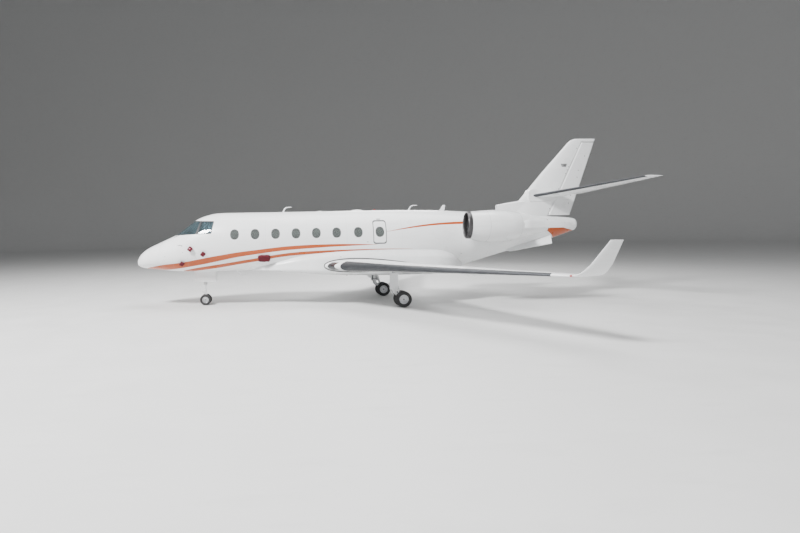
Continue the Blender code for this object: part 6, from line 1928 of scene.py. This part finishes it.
@dataclass
class Fittings(Assembly):
    """Antennas, probes, lamps, ports and the red covers."""

    probes_at: Table = ((2.34, 2.34), (2.83, 2.15), (1.96, 1.80))
    vent_at: tuple[float, float] = (5.18, 1.93)
    belly_port: float = 8.14

    def build(self) -> None:
        """Builds and dresses every small fitting."""
        self.build_hooks()
        self.build_blades()
        self.build_lamps()
        self.build_ports()
        self.build_covers()

    def top(self, station: float) -> float:
        """Height of the hull's top at a station."""
        return smooth(HULL, station, 2)

    def build_hooks(self) -> None:
        """The hook-shaped aerials above and below."""
        hooks = (("aerial_front", 5.96, 0.20, 1), ("aerial_rear", 11.13, 0.20, 1), ("aerial_lower", 4.02, 0.17, -1))
        for name, x, tall, up in hooks:
            base = self.top(x) - 0.01 if up > 0 else smooth(HULL, x, 3) + 0.01
            rows = ((0.0, 0.0, 0.075, 0.016), (0.035, 0.35, 0.060, 0.013), (0.075, 0.70, 0.050, 0.011),
                    (0.120, 0.92, 0.042, 0.010), (0.190, 1.0, 0.036, 0.009), (0.30, 1.02, 0.030, 0.008),
                    (0.36, 1.0, 0.012, 0.004))
            rings = []
            for k, (shift, share, chord, thick) in enumerate(rows):
                lean = math.radians(90 * min(1.0, max(0.0, (k - 1) / 3)))
                section = [(chord / 2 * c, thick / 2 * s) for c, s in turns(20)]
                rings.append([at(x + shift + a * math.cos(lean), b, base + up * (tall * share - a * math.sin(lean)))
                              for a, b in section])
            self.dress(Shapes.loft(name, rings), Palette.PLAIN)

    def build_blades(self) -> None:
        """Swept blade aerials and the low bump on the roof."""
        for name, x, tall, up in (("aerial_blade", 12.42, 0.24, 1), ("aerial_belly_blade", 9.35, -0.18, -1)):
            base = self.top(x) - 0.012 if up > 0 else mix(BELLY, x, 2) + 0.012
            rings = []
            for share in (0.0, 0.3, 0.6, 0.9, 1.0):
                chord, half = 0.20 - 0.08 * share - (0.03 if share == 1.0 else 0.0), 0.010 * (1 - 0.4 * share)
                rings.append([at(x + 0.12 * share + chord * (1 + c) / 2, half * s, base + tall * share)
                              for c, s in turns(24)])
            self.dress(Shapes.loft(name, rings), Palette.PLAIN)
        for name, x, long, tall in (("roof_bump", 8.70, 0.58, 0.045), ("roof_bump_front", 7.30, 0.30, 0.02)):
            base, tip = self.top(x) - 0.012, 1e-4
            rings = []
            for share in even(0.0, 1.0, 13):
                swell = math.sin(math.pi * share) ** 0.6
                rings.append([at(x + long * share, 0.13 * swell * c + tip * c,
                                 base + (tall + 0.012) * swell * max(0.0, s) + tip * s) for c, s in turns(24)])
            self.dress(Shapes.loft(name, rings), Palette.PLAIN)

    def build_lamps(self) -> None:
        """Red beacons above and below."""
        top, belly = at(9.72, 0, self.top(9.72) - 0.004), at(8.55, 0, mix(BELLY, 8.55, 2) + 0.004)
        for name, centre, sign in (("beacon_top", top, 1), ("beacon_belly", belly, -1)):
            base = [(0.0, 0.0005), (0.0, 0.075), (sign * 0.018, 0.066), (sign * 0.020, 0.0005)]
            self.dress(Shapes.turned(f"{name}_base", base, centre, "Z", 40), Palette.ALLOY)
            dome = [(sign * 0.019, 0.0005), (sign * 0.019, 0.048)]
            for k in range(9):
                angle = math.pi / 2 * k / 8
                dome.append((sign * (0.030 + 0.035 * math.sin(angle)), 0.048 * math.cos(angle) + 0.0005))
            self.dress(Shapes.turned(name, dome, centre, "Z", 40), Palette.RED_GLASS)

    def build_ports(self) -> None:
        """Small round ports and the latch mark ahead of the windscreen."""
        ports, marks = [], []
        places = ((9.21, 2.48, 0.022), (self.belly_port, 1.93, 0.016), (2.02, 2.20, 0.014), (1.30, 2.05, 0.012),
                  (12.95, 1.95, 0.020))
        for side in Side:
            for x, z, radius in places:
                centre, normal = HULL_FORM.on_skin(side, x, z), HULL_FORM.outward(side, x, z)
                if x == self.belly_port:
                    centre, normal = at(x, side.value * mix(BELLY, x, 1), z), Vector((0, side.value, 0))
                ports.append(Shapes.rod("port", centre - normal * 0.01, centre + normal * 0.002, radius, steps=24))
        self.dress(Shapes.merge("hull_ports", ports), Palette.STEEL)
        for side in Side:
            bends = ((1.83, 2.478), (1.95, 2.478), (2.01, 2.462), (1.995, 2.425))
            marks.append(Shapes.tube("latch", [HULL_FORM.on_skin(side, x, z, 0.003) for x, z in bends], 0.009))
        self.dress(Shapes.merge("nose_latches", marks), Palette.STEEL)

    def build_covers(self) -> None:
        """Red cloth covers over the probes and the side vent."""
        for number, (x, z) in enumerate(self.probes_at):
            self.build_probe(number, x, z)
        centre, normal = HULL_FORM.on_skin(Side.LEFT, *self.vent_at), HULL_FORM.outward(Side.LEFT, *self.vent_at)
        plug = self.pouch("vent_cover", centre + normal * 0.035, normal, 0.235, 0.145, 0.05)
        self.dress(plug, Palette.COVER, sharp=60)

    def build_probe(self, number: int, station: float, height: float) -> None:
        """A pitot probe with its red cover and ribbon."""
        foot = HULL_FORM.on_skin(Side.LEFT, station, height)
        normal = HULL_FORM.outward(Side.LEFT, station, height)
        bends = [foot + normal * 0.075 + Vector((ahead, 0, 0)) for ahead in (-0.03, -0.11)]
        points = [foot - normal * 0.01, foot + normal * 0.05, *bends]
        self.dress(Shapes.tube(f"probe_{number}", points, 0.010), Palette.ALLOY)
        cover = self.pouch(f"probe_cover_{number}", foot + normal * 0.085, normal, 0.092, 0.084, 0.034, 50)
        self.dress(cover, Palette.COVER, sharp=60)
        middle = foot + normal * 0.108 + Vector((-0.01, 0, 0.02))
        stripe = self.pouch(f"probe_cover_mark_{number}", middle, normal, 0.034, 0.020, 0.014, 20)
        self.dress(stripe, Palette.RIBBON, sharp=60)

    @staticmethod
    def pouch(name: str, centre: Vector, normal: Vector, wide: float, tall: float, deep: float,
              turn: float = 0.0) -> Piece:
        """A soft, slightly creased pouch facing along a normal."""
        forward = Vector((1, 0, 0))
        up = forward.cross(normal).normalized()
        up = up if up.z > 0 else -up
        angle = math.radians(turn)
        first = forward * math.cos(angle) + up * math.sin(angle)
        second = up * math.cos(angle) - forward * math.sin(angle)

        def put(p: Vector) -> Vector:
            """Creases a point and turns it into place."""
            crease = 1 + 0.030 * math.sin(7 * p.x + 4 * p.y) + 0.015 * math.sin(17 * p.y - 8 * p.x)
            flat = first * (p.x * wide) * crease + second * (p.y * tall) * crease
            return centre + flat + normal * (p.z * deep) * crease

        return Shapes.pillow(name, 17, 5, put)


@dataclass
class Studio(Assembly):
    """Floor, lights and camera."""

    eye: tuple[float, float, float] = (-3.741, -18.849, 2.773)
    yaw: float = 0.028
    pitch: float = -0.067
    roll: float = -0.019
    lens: float = 20.62
    shift: float = 0.1354
    backdrop: float = 110.0
    cove: float = 18.0

    def build(self) -> None:
        """Makes the stage."""
        self.build_floor()
        self.build_lights()
        self.build_camera()

    def build_floor(self) -> None:
        """A wide pale floor that curves up into a round backdrop."""
        profile = [(reach, 0.0) for reach in (0.0, 20.0, 60.0, self.backdrop)]
        for k in range(1, 17):
            angle = math.pi / 2 * k / 16
            profile.append((self.backdrop + self.cove * math.sin(angle), self.cove * (1 - math.cos(angle))))
        profile.append((self.backdrop + self.cove, 6 * self.cove))
        rings = [[Vector((r * c, r * s, z)) for r, z in profile] for c, s in turns(96)]
        floor = Shapes.loft("studio_floor", rings, closed=True, open_rings=True)
        floor.data.materials.append(self.finisher.material(Palette.FLOOR))
        floor.data.shade_smooth()

    def build_lights(self) -> None:
        """Soft boxes above and in front, and a pale surround."""
        rows = (("key", (-20.0, -17.0, 24.0), 6.0, 26000.0), ("top", (3.0, 2.0, 22.0), 16.0, 5200.0),
                ("fill", (16.0, -24.0, 8.0), 10.0, 500.0), ("rim", (6.0, 20.0, 13.0), 10.0, 2200.0))
        for name, place, size, power in rows:
            light = bpy.data.lights.new(name, "AREA")
            light.energy = power
            light.size = size
            lamp = Shapes.place(name, light)
            lamp.location = place
            lamp.rotation_euler = (Vector((0, 0, 2)) - Vector(place)).to_track_quat("-Z", "Y").to_euler()
        world = bpy.data.worlds.new("surround")
        world.use_nodes = True
        background = world.node_tree.nodes["Background"]
        background.inputs["Color"].default_value = (0.86, 0.88, 0.90, 1.0)
        background.inputs["Strength"].default_value = 0.24
        bpy.context.scene.world = world

    def build_camera(self) -> None:
        """The camera at the photograph's angle."""
        flat, climb = math.cos(self.pitch), math.sin(self.pitch)
        forward = Vector((math.sin(self.yaw) * flat, math.cos(self.yaw) * flat, climb))
        level = Vector((math.cos(self.yaw), -math.sin(self.yaw), 0))
        upright = level.cross(forward)
        right = level * math.cos(self.roll) + upright * math.sin(self.roll)
        up = upright * math.cos(self.roll) - level * math.sin(self.roll)
        data = bpy.data.cameras.new("camera")
        data.lens = self.lens
        data.sensor_width = 36.0
        data.shift_x = self.shift
        data.clip_end = 400.0
        camera = Shapes.place("camera", data)
        turn = Matrix((right, up, -forward)).transposed()
        camera.matrix_world = Matrix.Translation(self.eye) @ turn.to_4x4()
        bpy.context.scene.camera = camera


@dataclass
class Jet:
    """The whole dressed aircraft."""

    finisher: Finisher = field(default_factory=Finisher)

    def build(self) -> None:
        """Builds every sub-assembly and logs each."""
        assemblies = [Fuselage(self.finisher), Tail(self.finisher), LandingGear(self.finisher), Interior(self.finisher),
                      Fittings(self.finisher), Studio(self.finisher)]
        assemblies += [Wing(self.finisher, side) for side in Side]
        assemblies += [Engine(self.finisher, side) for side in Side]
        for assembly in assemblies:
            assembly.build()
            LOG.info("built %s", type(assembly).__name__)


def main() -> None:
    """Dresses the part."""
    logging.basicConfig(level=logging.INFO, format="%(message)s")
    Jet().build()


if __name__ == "__main__":
    main()
